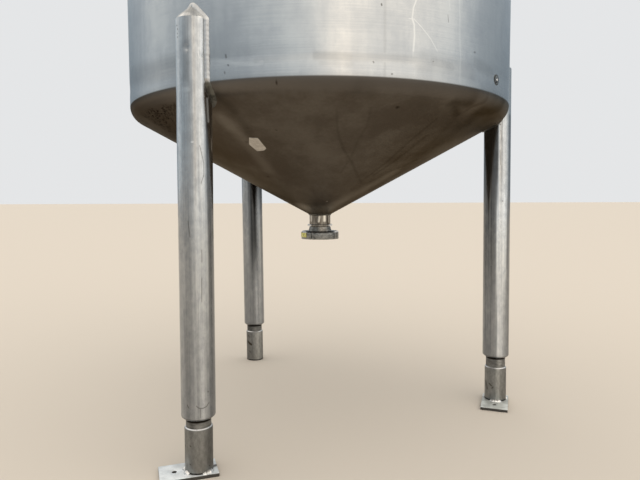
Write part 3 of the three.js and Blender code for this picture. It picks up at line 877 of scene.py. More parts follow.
def end_line(inset, slope, opening_r, cone_steps):
    """One surface of an end as (radius, height past the tangent), from the flange's edge inwards."""
    line = []
    for step in range(FLANGE_STEPS):
        line.append((SHELL_R - inset, -FLANGE_H * (1 - step / FLANGE_STEPS)))
    bend = KNUCKLE_R - inset
    for step in range(KNUCKLE_STEPS + 1):
        angle = (pi / 2 - slope) * step / KNUCKLE_STEPS
        line.append((SHELL_R - KNUCKLE_R + bend * cos(angle), bend * sin(angle)))
    start_r, start_h = line[-1]
    for step in range(1, cone_steps + 1):
        r = start_r + (opening_r - start_r) * step / cone_steps
        line.append((r, start_h + (start_r - r) * tan(slope)))
    return line


KNUCKLE_END_R = SHELL_R - KNUCKLE_R + KNUCKLE_R * sin(BOTTOM_SLOPE)
KNUCKLE_END_Z = BOTTOM_TANGENT_Z - KNUCKLE_R * cos(BOTTOM_SLOPE)


def bottom_z(out):
    """Height of the bottom end's outer surface at a distance from the axis."""
    if out >= KNUCKLE_END_R:
        side = min(out - (SHELL_R - KNUCKLE_R), KNUCKLE_R)
        return BOTTOM_TANGENT_Z - sqrt(KNUCKLE_R ** 2 - side ** 2)
    return KNUCKLE_END_Z - (KNUCKLE_END_R - out) * tan(BOTTOM_SLOPE)


def bottom_normal(spot):
    """The bottom end's outward normal at a spot."""
    out = from_axis(spot)
    away = outward(spot)
    if out < KNUCKLE_END_R:
        return away * sin(BOTTOM_SLOPE) - UP * cos(BOTTOM_SLOPE)
    side = min((out - (SHELL_R - KNUCKLE_R)) / KNUCKLE_R, 1.0)
    return away * side - UP * sqrt(1 - side ** 2)


def top_z(out):
    """Height of the top end's outer surface at a distance from the axis."""
    return TOP_TANGENT_Z + end_line(0, TOP_SLOPE, out, 1)[-1][1]


def waves(spot, size):
    """How far a rolled sheet stands off its true form at a spot."""
    slow = noise.noise(Vector((spot.x * 3, spot.y * 3, spot.z * 2)))
    quick = noise.noise(Vector((spot.x * 9 + 5, spot.y * 9, spot.z * 6)))
    return size * (slow + 0.4 * quick)


def seam_dip(z):
    """How far a weld seam has drawn the sheet inwards at a height."""
    return SEAM_DIP * exp(-((z - BOTTOM_SEAM_Z) / SEAM_DIP_H) ** 2)


def plate_nets(profile_outer, profile_inner, number, columns, ripple):
    """Outer and inner nets of one third of a round vessel part."""
    start = SEAM_AZIMUTH + number * PLATE_SWEEP
    nets = ([], [])
    for step in range(columns + 1):
        direction = azimuth_vector(start + PLATE_SWEEP * step / columns)
        for net, profile in zip(nets, (profile_outer, profile_inner)):
            row = []
            for r, z in profile:
                spot = AXIS + direction * r + UP * z
                row.append(spot - direction * (abs(waves(spot, ripple)) + seam_dip(z)))
            net.append(row)
    return nets


def add_vessel():
    shell = shell_finish()
    bottom = bottom_finish()
    top = steel("top_end_steel", 0.56, 0.06, 0.36, 7)
    fine_top = BOTTOM_SEAM_Z + FINE_BAND_H
    heights = [*np.linspace(BOTTOM_SEAM_Z, fine_top, 26), *np.linspace(fine_top, TOP_SEAM_Z, 45)[1:]]
    course = [[(SHELL_R - inset, z) for z in heights] for inset in (0, WALL)]
    below, above = [], []
    for inset in (0, WALL):
        below.append([(r, BOTTOM_TANGENT_Z - h) for r, h in end_line(inset, BOTTOM_SLOPE, STUB_R, 44)])
        above.append([(r, TOP_TANGENT_Z + h) for r, h in end_line(inset, TOP_SLOPE, PAD_R - WALL, 30)])
    holes = [opening(MANWAY_PLACE, MANWAY_R - WALL), opening(NOZZLE_PLACE, STUB_R - STUB_WALL)]
    parts = (
        ("shell_sheet", "shell_plate", "shell_steel", shell, course, 120, 0.0008, ()),
        ("bottom_end", "bottom_cone", "bottom_steel", bottom, below, 120, 0.0005, ()),
        ("top_end", "top_cone", "shell_steel", top, above, 90, 0.0003, holes),
    )
    for number in range(PLATES):
        tail = number + 1
        for name, node, slot, finish, surfaces, columns, ripple, cut in parts:
            form = Form().sheet(*plate_nets(*surfaces, number, columns, ripple))
            add_piece(f"{name}_{tail}", form, finish, slot, f"{node}_{tail}", cut=cut)
    add_boss()
    add_label()


def add_boss():
    """The earthing boss: a thin disc with a painted shade ring at its rim, and a small stud."""
    low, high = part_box("earth_boss")
    middle = (low + high) / 2
    direction = outward(middle)
    stand = pointing(AXIS + UP * middle.z, direction)
    back, face = SHELL_R - 0.002, SHELL_R + BOSS_T
    disc = rounded([(0, back), (BOSS_R, back), (BOSS_R, face, 0.0006), (0, face)])
    finish = boss_finish(AXIS + UP * middle.z + direction * SHELL_R)
    add_piece("boss_disc", Form().lathe(disc, 48, stand), finish, "polished_steel", "earth_boss")
    stud = Form().rod((0, 0, SHELL_R), (0, 0, SHELL_R + BOSS_STUD_H), BOSS_STUD_R, 24, 0.0014, stand)
    # The stud is near white and barely metallic: a painted glint
    add_piece("boss_stud", stud, Finish("boss_stud_steel", 0.3).done(grey(0.95), 0.25), "polished_steel")


def add_label():
    """What is left of a pale label on the bottom end."""
    outline = [Vector(pixel) for pixel in LABEL_OUTLINE]
    middle = sum(outline, Vector((0, 0))) / len(outline)
    shares = (0.05, 0.35, 0.7, 1.0)
    rows = []
    for lift, steps in zip(LABEL_FACES, (shares, shares[::-1])):
        for share in steps:
            spots = [cone_place(middle.lerp(corner, share)) for corner in outline]
            rows.append([spot + bottom_normal(spot) * lift for spot in spots])
    add_piece("label_remnant", Form().sweep(rows), label_finish(), "bottom_steel")


# Legs and feet

def leg_axis(side, z=0.0):
    """A leg's axis at a height, as a point on the ground."""
    azimuth, foot, head = LEGS[side]
    lean = foot + (head - foot) * z / LEAN_H
    return AXIS + azimuth_vector(azimuth) * LEG_CIRCLE_R + Vector((lean, 0, 0))


def leg_slope(side):
    _, foot, head = LEGS[side]
    return (head - foot) / LEAN_H


def leg_spot(side, azimuth, z, radius=LEG_R):
    return leg_axis(side, z) + azimuth_vector(azimuth) * radius + UP * z


def leaning(side):
    """A frame at a leg's foot whose vertical leans with the leg."""
    frame_at_foot = Matrix.Translation(leg_axis(side))
    frame_at_foot[0][2] = leg_slope(side)
    return frame_at_foot


def leg_arc(side, z):
    """The azimuths between which a leg's surface stands clear of the shell."""
    middle = leg_axis(side, z) - AXIS
    far = middle.length
    half = acos((SHELL_R ** 2 - far ** 2 - LEG_R ** 2) / (2 * far * LEG_R))
    turn = atan2(middle.y, middle.x)
    return turn - half, turn + half


def leg_top(side, azimuth):
    """Height at which a leg's surface meets the bottom end."""
    z = BOTTOM_TANGENT_Z
    for _ in range(4):
        z = bottom_z(min(from_axis(leg_spot(side, azimuth, z)), SHELL_R))
    return z


def cap_reach(side, azimuth):
    """How far from the leg's axis its cap runs into the shell, at an azimuth."""
    middle = leg_axis(side, LEG_CAP_Z) - AXIS
    along = middle.dot(azimuth_vector(azimuth))
    return -along + sqrt(along ** 2 - middle.length_squared + SHELL_R ** 2)


def cap_spot(side, azimuth, share):
    """A spot on the cap's slope, from its rim at 0 to the shell at 1."""
    r = LEG_R + (cap_reach(side, azimuth) - LEG_R) * share
    rounding = 0.002 * sin(pi * min(share * 2, 1.0)) - 0.003 * share ** 3
    return leg_spot(side, azimuth, LEG_CAP_Z + LEG_R - r + rounding, r)


def dent_depth(side, azimuth, z):
    """How deep a leg's surface is dented at an azimuth and height."""
    front = azimuth + pi / 2
    depth = 0.0
    for pixel, size, deep in LEG_DENTS[side]:
        dent_arc, dent_z = leg_place(side, pixel)
        turn = (front - dent_arc / LEG_R + pi) % TURN - pi
        gap = hypot(turn * LEG_R, z - dent_z) / size
        depth += deep * exp(-gap * gap)
    return depth


def leg_form(side):
    """A leg's pipe: full below the tank, half beside it, cut to the tank's form."""
    end_z = span(f"leg_{side}")[0]
    low_z = end_z + LEG_CHAMFER
    start, stop = leg_arc(side, BOTTOM_TANGENT_Z)
    outer = np.linspace(start, stop, 45)
    inner = np.linspace(stop, start + TURN, 41)
    angles = [*outer, *inner[1:-1]]
    form = Form()

    def column(spots, inset):
        return [leg_spot(side, a, z, LEG_R - (inset or dent_depth(side, a, z))) for a, z in spots]

    low_spots = [[(a, z) for z in np.linspace(low_z, leg_top(side, a), 91)] for a in angles]
    levels = np.linspace(BOTTOM_TANGENT_Z, LEG_CAP_Z, 33)
    arcs = [leg_arc(side, z) for z in levels]
    high_spots = []
    for share in np.linspace(0, 1, 45):
        high_spots.append([(a + (b - a) * share, z) for (a, b), z in zip(arcs, levels)])
    high = []
    for inset in (0, LEG_WALL):
        form.grid([column(spots, inset) for spots in low_spots], wrap_rows=True)
        high.append([column(spots, inset) for spots in high_spots])
        form.grid(high[-1])
    form.grid([[leg_spot(side, a, leg_top(side, a), r) for r in (LEG_R, LEG_R - LEG_WALL)] for a in inner])
    for edge in (0, -1):
        form.grid([net[edge] for net in high])
    form.grid([[line[-1] for line in net] for net in high])
    corners = (
        (LEG_R, low_z),
        (LEG_R - 0.001, low_z - 0.003),
        (LEG_R - LEG_CHAMFER + 0.002, end_z + 0.0008),
        (LEG_R - LEG_CHAMFER, end_z),
        (NECK_R + 0.001, end_z),
        (NECK_R + 0.001, low_z),
        (LEG_R - LEG_WALL, low_z),
    )
    ring = [[leg_spot(side, azimuth, z, r) for r, z in corners] for azimuth in angles]
    return form.grid(ring, wrap_rows=True)


def cap_form(side):
    """The coned cap above a leg, cut to the shell."""
    skin, under = [], []
    for azimuth in np.linspace(*leg_arc(side, LEG_CAP_Z), 45):
        column = [cap_spot(side, azimuth, share) for share in np.linspace(0, 1, 15)]
        skin.append(column)
        under.append([spot - UP * LEG_WALL for spot in column])
    return Form().sheet(skin, under)


def leg_weld_sections(side):
    """Sections of the closed weld where a leg and its cap meet the tank."""
    line = []
    start, stop = leg_arc(side, BOTTOM_TANGENT_Z)
    for azimuth in np.linspace(stop, start + TURN, 81):
        z = leg_top(side, azimuth)
        spot = leg_spot(side, azimuth, z)
        swell = LEG_WELD_SWELL * exp(-((LEG_WELD_SWELL_Z - z) / LEG_WELD_SWELL_H) ** 2)
        line.append((spot, azimuth_vector(azimuth), bottom_normal(spot), LEG_WELD[0] + swell, LEG_WELD[1]))
    heights = np.linspace(BOTTOM_TANGENT_Z, LEG_CAP_Z, 40)[1:-1]

    def beside(end, levels):
        for z in levels:
            azimuth = leg_arc(side, z)[end]
            spot = leg_spot(side, azimuth, z)
            line.append((spot, azimuth_vector(azimuth), outward(spot), *LEG_SIDE_WELD))

    beside(0, heights)
    over = np.linspace(*leg_arc(side, LEG_CAP_Z), 61)
    for azimuth, width in zip(over, np.linspace(*CAP_WELD_W, 61)):
        spot = cap_spot(side, azimuth, 1)
        slope = (azimuth_vector(azimuth) + UP).normalized()
        line.append((spot, slope, outward(spot), width, width * CAP_WELD_SHARE))
    beside(1, heights[::-1])
    sections = []
    for number, (spot, leg_normal, tank_normal, width, leg_width) in enumerate(line):
        on_tank = (leg_normal - tank_normal * leg_normal.dot(tank_normal)).normalized()
        on_leg = (tank_normal - leg_normal * leg_normal.dot(tank_normal)).normalized()
        uneven = unevenness(spot, number)
        sections.append(bead_section(spot, on_tank, on_leg, width * uneven, leg_width * uneven))
    return sections


def add_legs():
    for side in LEGS:
        finish = leg_finish(side)
        add_piece(f"leg_pipe_{side}", leg_form(side), finish, "leg_steel", f"leg_{side}")
        add_piece(f"leg_top_{side}", cap_form(side), finish, "leg_steel", f"leg_cap_{side}")
        weld = Form().sweep(leg_weld_sections(side), closed=True)
        add_piece(f"leg_weld_{side}", weld, leg_weld_finish(), "leg_steel")
        add_foot(side)
        if side in BASE_PLATES:
            add_base_plate(side)


def tube_line(radius, wall, low, high):
    """The section of a plain tube."""
    return [(radius - wall, low), (radius, low), (radius, high), (radius - wall, high)]


def add_foot(side):
    place = leaning(side)
    low, high = span(f"foot_neck_{side}")
    neck = Form().lathe(tube_line(NECK_R, NECK_WALL, low, high), 64, place)
    add_piece(f"neck_{side}", neck, neck_finish(side), "foot_steel", f"foot_neck_{side}")
    low, high = span(f"foot_sleeve_{side}")
    sleeve = rounded([
        (NECK_R + FIT, low), (SLEEVE_R, low, 0.0008),
        (SLEEVE_R, high - SLEEVE_CHAMFER, 0.0015),
        (SLEEVE_R - SLEEVE_CHAMFER, high, 0.001), (NECK_R + FIT, high),
    ])
    form = Form().lathe(sleeve, 96, place)
    add_piece(f"sleeve_{side}", form, sleeve_finish(side), "foot_steel", f"foot_sleeve_{side}")


def add_base_plate(side):
    turn, far, left = BASE_PLATES[side]
    near, half = far - PLATE_L, PLATE_W / 2
    outline = [(near, left - half), (far, left - half), (far, left + half), (near, left + half)]
    hole = circle(PLATE_HOLE_R, 32, (far - PLATE_HOLE_IN, left))
    place = upright(leg_axis(side) + UP * PLATE_T / 2, turn)
    form = Form().flat_plate([outline, hole[::-1]], PLATE_T, PLATE_BEVEL, place)
    add_piece(f"base_plate_{side}", form, plate_finish(side), "plate_steel", f"foot_plate_{side}")
    welds = Form()
    for start, stop in FOOT_WELDS[side]:
        sections = []
        for number, front in enumerate(np.linspace(start, stop, max(6, int((stop - start) / 3)))):
            out = front_vector(radians(front))
            spot = leg_axis(side) + out * SLEEVE_R + UP * PLATE_T
            fade = min(1.0, 0.35 + min(front - start, stop - front) / 12)
            width = fade * FOOT_WELD[0] * (unevenness(spot, number) + 0.35 * noise.noise(spot * 160))
            sections.append(bead_section(spot, UP, out, width, width * FOOT_WELD[1]))
        welds.sweep(sections)
    add_piece(f"foot_weld_{side}", welds, bright_weld_finish(), "plate_steel")


# Union fittings, drawn hanging from height zero

def liner_profile():
    bore_r = STUB_R - STUB_WALL
    return rounded([
        (bore_r, 0), (COLLAR_R, 0, 0.0025), (COLLAR_R, -COLLAR_H, 0.0025),
        (LINER_TOP_R, -COLLAR_H, 0.0025), (LINER_R, -NUT_DROP),
        (LINER_R, -NUT_DROP - 0.007), (LINER_LIP_R, -NUT_DROP - 0.011),
        (LINER_LIP_R, -LINER_H, 0.001), (bore_r, -LINER_H),
    ])


def nut_form(place):
    top = -NUT_DROP
    low = top - NUT_H
    profile = rounded([
        (LINER_R + FIT, top), (NUT_R - 0.005, top, 0.0008), (NUT_R, top - 0.005, 0.0008),
        (NUT_R, low, 0.0015), (NUT_BORE_R, low, 0.001), (NUT_BORE_R, top - 0.011),
        (LINER_LIP_R, top - 0.0104), (LINER_R + FIT, top - 0.0064),
    ])
    return Form().lathe(profile, 128, place)


def nut_slots(place):
    """The four spanner slots as solid bars."""
    low = (NUT_R - 0.005, -0.004, -NUT_DROP - NUT_H - 0.01)
    high = (NUT_R + 0.01, 0.004, -NUT_DROP + 0.01)
    stands = [place @ Matrix.Rotation(azimuth, 4, "Z") for azimuth in turns(4, NUT_SLOT_AZIMUTH)]
    return [Form().block(low, high, 0.0008, stand) for stand in stands]


def add_outlet():
    stub_low = span("outlet_stub")[0]
    place = upright(AXIS + UP * (stub_low - GAP))
    top = bottom_z(STUB_R) - stub_low + 0.001
    stub = Form().lathe(tube_line(STUB_R, STUB_WALL, GAP, top), 96, place)
    add_piece("stub_pipe", stub, outlet_finish(), "polished_steel", "outlet_stub")
    liner = Form().lathe(liner_profile(), 96, place)
    add_piece("union_liner", liner, liner_finish(stub_low), "polished_steel", "outlet_liner")
    dull = nut_finish("union_nut_steel", span("outlet_nut")[1])
    add_piece("union_nut", nut_form(place), dull, "foot_steel", "outlet_nut", cut=nut_slots(place))
    add_tag(place)
    bead = []
    for number, azimuth in enumerate(turns(60)):
        out = azimuth_vector(azimuth)
        spot = AXIS + out * STUB_R + UP * bottom_z(STUB_R)
        on_cone = (out * cos(BOTTOM_SLOPE) + UP * sin(BOTTOM_SLOPE)).normalized()
        on_pipe_w, on_cone_w = STUB_WELD
        bead.append(bead_section(spot, -UP, on_cone, on_pipe_w, on_cone_w * unevenness(spot, number)))
    add_piece("stub_weld", Form().sweep(bead, closed=True), leg_weld_finish(), "polished_steel")


def add_tag(place):
    """The blank tag that clings to the outlet's nut, with its corners lifting a little."""
    high = -NUT_DROP - TAG_DROP
    low = high - TAG_H
    rows = []
    for azimuth in np.linspace(*TAG_SWEEP, 17):
        curl = TAG_CURL * sin(azimuth * 9)
        corners = ((GAP, low), (TAG_OUT + curl, low), (TAG_OUT - curl, high), (GAP, high))
        rows.append([azimuth_vector(azimuth) * (NUT_R + r) + UP * z for r, z in corners])
    add_piece("blank_tag", Form().sweep(rows, place=place), tag_finish(), "tag_yellow", "outlet_tag")


def add_inlet():
    """The same fitting upside down on the top end, closed by a disc."""
    place = Matrix.Translation(NOZZLE_PLACE + UP * NOZZLE_TOP_Z) @ Matrix.Rotation(pi, 4, "X")
    steel_finish = polished_finish("inlet_steel")
    form = raised_tube(NOZZLE_PLACE, STUB_R, STUB_WALL, NOZZLE_TOP_Z + LAP)
    form.lathe(liner_profile(), 96, place)
    add_piece("inlet_pipe", form, steel_finish, "polished_steel", "inlet_nozzle")
    high = -LINER_H - GAP
    low = high - CAP_DISC_T
    disc = rounded([(0, low), (NUT_BORE_R, low, 0.001), (NUT_BORE_R, high), (0, high)])
    dull = nut_finish("inlet_nut_steel")
    add_piece("inlet_nut", nut_form(place), dull, "foot_steel", "inlet_cap", cut=nut_slots(place))
    add_piece("inlet_disc", Form().lathe(disc, 64, place), steel_finish, "foot_steel")
    add_ring_weld("inlet_weld", NOZZLE_PLACE, STUB_R, NOZZLE_WELD_W)


# Fittings on the top end

def opening(place, radius):
    """A hole through the top end, as a solid form."""
    hole = [(0, TOP_SEAM_Z), (radius, TOP_SEAM_Z), (radius, RIM_Z), (0, RIM_Z)]
    return Form().lathe(hole, 96, upright(place))


def on_top(spot):
    """A spot moved up or down onto the top end."""
    return spot.xy.to_3d() + UP * top_z(from_axis(spot))


def raised_tube(place, radius, wall, high_z):
    """A tube that stands on the top end, cut to its slope."""
    rows = []
    for azimuth in turns(96):
        outer, inner = (place + azimuth_vector(azimuth) * r for r in (radius, radius - wall))
        lows = [on_top(spot) - UP * TUBE_SINK for spot in (outer, inner)]
        highs = [spot.xy.to_3d() + UP * high_z for spot in (outer, inner)]
        rows.append([lows[0], *highs, lows[1]])
    return Form().grid(rows, wrap_rows=True, wrap_columns=True)


def add_ring_weld(name, place, radius, width):
    """The weld between the top end and a tube that stands on it."""
    sections = []
    for number, azimuth in enumerate(turns(120)):
        out = azimuth_vector(azimuth)
        spot = on_top(place + out * radius)
        normal = outward(spot) * sin(TOP_SLOPE) + UP * cos(TOP_SLOPE)
        on_cone = (out - normal * out.dot(normal)).normalized()
        size = width * unevenness(spot, number)
        sections.append(bead_section(spot, UP, on_cone, size, size))
    add_piece(name, Form().sweep(sections, closed=True), fitting_weld_finish(), "shell_steel")


def dome_line(edge_r, height, base_z, steps=16):
    """A ball's cap, from its edge to its crown, as (radius, height)."""
    ball_r = (edge_r ** 2 + height ** 2) / (2 * height)
    spread = asin(edge_r / ball_r)
    line = []
    for step in range(steps + 1):
        angle = spread * (1 - step / steps)
        line.append((ball_r * sin(angle), base_z + height - ball_r * (1 - cos(angle))))
    return line


def ring_line(inner_r, outer_r, low, high):
    """The section of a flat ring with rounded outer edges."""
    return rounded([(inner_r, low), (outer_r, low, 0.0015), (outer_r, high, 0.0015), (inner_r, high)])


def add_manway():
    place = upright(MANWAY_PLACE, radians(-90))
    fitting = steel("manway_steel", 0.58, 0.05, 0.33, 9)
    under_rim = RIM_Z - MANWAY_RIM_T
    neck = raised_tube(MANWAY_PLACE, MANWAY_R, WALL, under_rim + LAP)
    neck.lathe(ring_line(MANWAY_R - WALL, MANWAY_RIM_R, under_rim, RIM_Z), 128, place)
    add_piece("manway_ring", neck, fitting, "shell_steel", "manway_neck")
    add_ring_weld("manway_weld", MANWAY_PLACE, MANWAY_R, RING_WELD_W)
    low = RIM_Z + GAP
    outside = dome_line(LID_DOME_R, LID_DOME_H, LID_TOP_Z)
    inside = dome_line(LID_DOME_R - WALL, LID_DOME_H - WALL + LID_T, low)
    edge = rounded([
        (LID_DOME_R - WALL, low), (MANWAY_RIM_R, low, 0.0015),
        (MANWAY_RIM_R, LID_TOP_Z, 0.0025), (LID_DOME_R, LID_TOP_Z),
    ])
    lid = Form().lathe([*reversed(inside), *edge[1:-1], *outside], 128, place)
    add_piece("manway_cover", lid, fitting, "shell_steel", "manway_lid")
    for number, azimuth in enumerate(CLAMP_AZIMUTHS, 1):
        add_clamp(number, upright(MANWAY_PLACE, azimuth))
    add_hinge(upright(MANWAY_PLACE))
    crown = LID_TOP_Z + LID_DOME_H
    path = [(-x, 0, crown + z) for x, z in HANDLE_BEND] + [(x, 0, crown + z) for x, z in HANDLE_BEND[::-1]]
    handle = Form().pipe(smooth_path(path), HANDLE_R, place=place)
    add_piece("lid_handle", handle, polished_finish("handle_steel"), "polished_steel", "manway_handle")


def smooth_path(points, steps=6):
    """A path with its corners rounded by averaging."""
    points = [Vector(point) for point in points]
    fine = []
    for start, end in zip(points, points[1:]):
        fine += [start.lerp(end, step / steps) for step in range(steps)]
    fine.append(points[-1])
    for _ in range(steps):
        fine = [fine[0], *((a + b * 2 + c) / 4 for a, b, c in zip(fine, fine[1:], fine[2:])), fine[-1]]
    return fine


def add_clamp(number, place):
    """A swing bolt: ears on the neck, an eye bolt between them and a knob on the lid."""
    out = CLAMP_OUT
    pin_z = UNDER_RIM_Z - 0.013
    form = Form()
    for side in (-1, 1):
        low = (MANWAY_R + GAP, side * 0.009, UNDER_RIM_Z - 0.024)
        form.block(low, (out + 0.012, side * 0.015, UNDER_RIM_Z), 0.001, place)
    form.rod((out, -0.0148, pin_z), (out, 0.0148, pin_z), 0.004, place=place)
    form.rod((out, 0, pin_z - 0.007), (out, 0, LID_TOP_Z + 0.03), 0.006, 24, 0.0015, place)
    eye = rounded([(0, -0.008), (0.009, -0.008, 0.003), (0.009, 0.008, 0.003), (0, 0.008)])
    form.lathe(eye, 24, place @ Matrix.Translation((out, 0, pin_z)))
    form.lathe(rounded(KNOB_LINE), 48, place @ Matrix.Translation((out, 0, LID_TOP_Z)))
    fitting = steel(f"clamp_steel_{number}", 0.6, 0.04, 0.28, 30)
    add_piece(f"swing_bolt_{number}", form, fitting, "leg_steel", f"manway_clamp_{number}")


def add_hinge(place):
    """The lid's hinge: two cheeks on the neck, a pin and a strap on the lid."""
    out = HINGE_OUT
    pin_z = LID_TOP_Z + 0.008
    strap_z = LID_TOP_Z + GAP
    strap_top = strap_z + STRAP_T
    form = Form()
    low = (MANWAY_R + GAP, -0.03, UNDER_RIM_Z - 0.016)
    form.block(low, (out + 0.014, 0.03, UNDER_RIM_Z), 0.0015, place)
    for side in (-1, 1):
        low = (out - 0.012, side * 0.021, UNDER_RIM_Z - 0.002)
        form.block(low, (out + 0.012, side * 0.029, pin_z + 0.009), 0.002, place)
    form.rod((out, -0.036, pin_z), (out, 0.036, pin_z), 0.0055, 24, 0.001, place)
    form.rod((out, -0.0205, pin_z), (out, 0.0205, pin_z), 0.0088, 24, 0.0005, place)
    form.block((out - 0.052, -0.02, strap_z), (out + 0.002, 0.02, strap_top), 0.0015, place)
    for x in (-0.042, -0.026):
        for y in (-0.01, 0.01):
            form.hex_bolt((out + x, y, strap_top), 0.008, 0.004, 0.001, place)
    add_piece("lid_hinge", form, steel("hinge_steel", 0.58, 0.05, 0.32, 30), "leg_steel", "manway_hinge")


def add_bolts(name, finish, circle_r, z, count, across, head, start=0.0):
    """A ring of bolts about the drive's axis."""
    form = Form()
    for azimuth in turns(count, start):
        form.hex_bolt(azimuth_vector(azimuth) * circle_r + UP * z, across, head, 0.002, upright(AXIS))
    add_piece(name, form, finish, "drive_paint")


def add_pad():
    """The plate on a short neck that carries the drive."""
    low = PAD_TOP_Z - PAD_FLANGE_T
    pad = raised_tube(AXIS, PAD_R, WALL, low + LAP)
    pad.lathe(ring_line(SHAFT_R + 0.005, PAD_FLANGE_R, low, PAD_TOP_Z), 128, upright(AXIS))
    add_piece("drive_pad", pad, steel("pad_steel", 0.56, 0.05, 0.34, 9), "shell_steel", "agitator_pad")
    add_ring_weld("pad_weld", AXIS, PAD_R, RING_WELD_W)


def add_stool(paint):
    """The lantern, with a window on each side of the coupling."""
    low, high = span("agitator_lantern")
    middle = (low + high) / 2
    stool = rounded([
        (LANTERN_R - 0.01, low), (PAD_FLANGE_R, low, 0.002),
        (PAD_FLANGE_R, low + FLANGE_T, 0.002), (LANTERN_R, low + FLANGE_T, 0.006),
        (LANTERN_R, high - FLANGE_T, 0.006), (LANTERN_HEAD_R, high - FLANGE_T, 0.002),
        (LANTERN_HEAD_R, high, 0.001), (LANTERN_R - 0.01, high),
    ])
    place = upright(AXIS)
    window = Form().block((-0.3, -0.055, middle - 0.06), (0.3, 0.055, middle + 0.06), 0.008, place)
    form = Form().lathe(stool, 128, place)
    add_piece("drive_stool", form, paint, "drive_paint", "agitator_lantern", cut=[window])
    finish = steel("bolt_steel", 0.5, 0.05, 0.35, 40)
    add_bolts("stool_bolts", finish, STOOL_BOLTS_R, low + FLANGE_T, 8, 0.024, 0.011, radians(22.5))


def add_shaft():
    """The shaft, with a coupling of two halves in the lantern's window."""
    low, high = span("agitator_shaft")
    middle = sum(span("agitator_lantern")) / 2
    coupling_low, coupling_high = middle - COUPLING_H / 2, middle + COUPLING_H / 2
    line = rounded([
        (0, low), (SHAFT_R, low, 0.001), (SHAFT_R, coupling_low),
        (COUPLING_R, coupling_low, 0.002), (COUPLING_R, middle - 0.003, 0.001),
        (COUPLING_R - 0.006, middle - 0.002), (COUPLING_R - 0.006, middle + 0.002),
        (COUPLING_R, middle + 0.003, 0.001), (COUPLING_R, coupling_high, 0.002),
        (SHAFT_R, coupling_high), (SHAFT_R, high), (0, high),
    ])
    form = Form().lathe(line, 64, upright(AXIS))
    add_piece("drive_shaft", form, polished_finish("shaft_steel"), "polished_steel", "agitator_shaft")


def add_gearbox(paint):
    """The gearbox, with upright ribs and an oil plug."""
    low, high = span("agitator_gearbox")
    casing = rounded([
        (0, low), (LANTERN_HEAD_R, low, 0.001), (LANTERN_HEAD_R, low + FLANGE_T, 0.003),
        (CASING_WAIST_R, low + FLANGE_T * 2, 0.004), (CASING_R, low + FLANGE_T * 4, 0.01),
        (CASING_R, high - FLANGE_T * 2, 0.01), (MOTOR_FLANGE_R, high - FLANGE_T, 0.003),
        (MOTOR_FLANGE_R, high, 0.001), (0, high),
    ])
    form = Form().lathe(casing, 128, upright(AXIS))
    rib_low = (0.09, -RIB_T / 2, low + 0.012)
    rib_high = (0.1255, RIB_T / 2, high - 0.012)
    for azimuth in turns(RIBS, radians(22.5)):
        form.block(rib_low, rib_high, 0.0015, upright(AXIS, azimuth))
    plug_z = low + 0.1
    form.rod((0.108, 0, plug_z), (0.1235, 0, plug_z), 0.009, 6, place=upright(AXIS, radians(-90)))
    add_piece("gear_casing", form, paint, "drive_paint", "agitator_gearbox")
    finish = steel("casing_bolt_steel", 0.5, 0.05, 0.35, 40)
    add_bolts("casing_bolts", finish, CASING_BOLTS_R, low + FLANGE_T - 0.001, 6, 0.016, 0.008)


def add_motor(paint):
    """The motor, with cooling fins and a fan cover."""
    place = upright(AXIS)
    low, high = span("agitator_motor")
    cowl = high - COWL_H
    casing = rounded([
        (0, low), (MOTOR_FLANGE_R, low, 0.001), (MOTOR_FLANGE_R, low + FLANGE_T, 0.003),
        (MOTOR_R - 0.014, low + FLANGE_T, 0.004), (MOTOR_R - 0.014, cowl), (0, cowl),
    ])
    motor = Form().lathe(casing, 128, place)
    fin_low = (MOTOR_R - 0.016, -FIN_T / 2, low + FLANGE_T - 0.001)
    fin_high = (MOTOR_R, FIN_T / 2, cowl + 0.001)
    for azimuth in turns(FINS, radians(5)):
        motor.block(fin_low, fin_high, 0.0006, upright(AXIS, azimuth))
    floor_z = high - GRILLE_DEPTH
    grille = []
    for outer, inner in GRILLE:
        grille += [(outer, high), (outer - 0.001, floor_z), (inner + 0.001, floor_z), (inner, high)]
    hood = rounded([
        (0, cowl), (COWL_R, cowl, 0.001), (COWL_R, cowl + COWL_H * 0.7, 0.012),
        (COWL_R * 0.88, cowl + COWL_H * 0.94, 0.006), (COWL_R * 0.7, high, 0.006), *grille,
        (0, high),
    ])
    motor.lathe(hood, 128, place)
    add_piece("motor_casing", motor, paint, "drive_paint", "agitator_motor")


def add_terminal_box(paint):
    """The motor's terminal box, with a neck, a lid and four screws."""
    low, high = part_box("agitator_terminal_box")
    left, right = AXIS.x + MOTOR_R + GAP, high.x
    box = Form().block((left, low.y, low.z), (right - 0.01, high.y, high.z), 0.004)
    box.block((right - 0.0095, low.y, low.z), (right - 0.002, high.y, high.z), 0.0025)
    box.block((left - 0.012, low.y * 0.7, low.z + 0.018), (left + 0.01, high.y * 0.7, high.z - 0.018), 0.002)
    for y in (low.y + BOX_SCREW_IN, high.y - BOX_SCREW_IN):
        for z in (low.z + BOX_SCREW_IN, high.z - BOX_SCREW_IN):
            box.rod((right - 0.003, y, z), (right, y, z), 0.0045, 20, 0.001)
    add_piece("terminal_box", box, paint, "drive_paint", "agitator_terminal_box")


def add_agitator():
    paint = paint_finish()
    add_pad()
    add_stool(paint)
    add_shaft()
    add_gearbox(paint)
    add_motor(paint)
    add_terminal_box(paint)


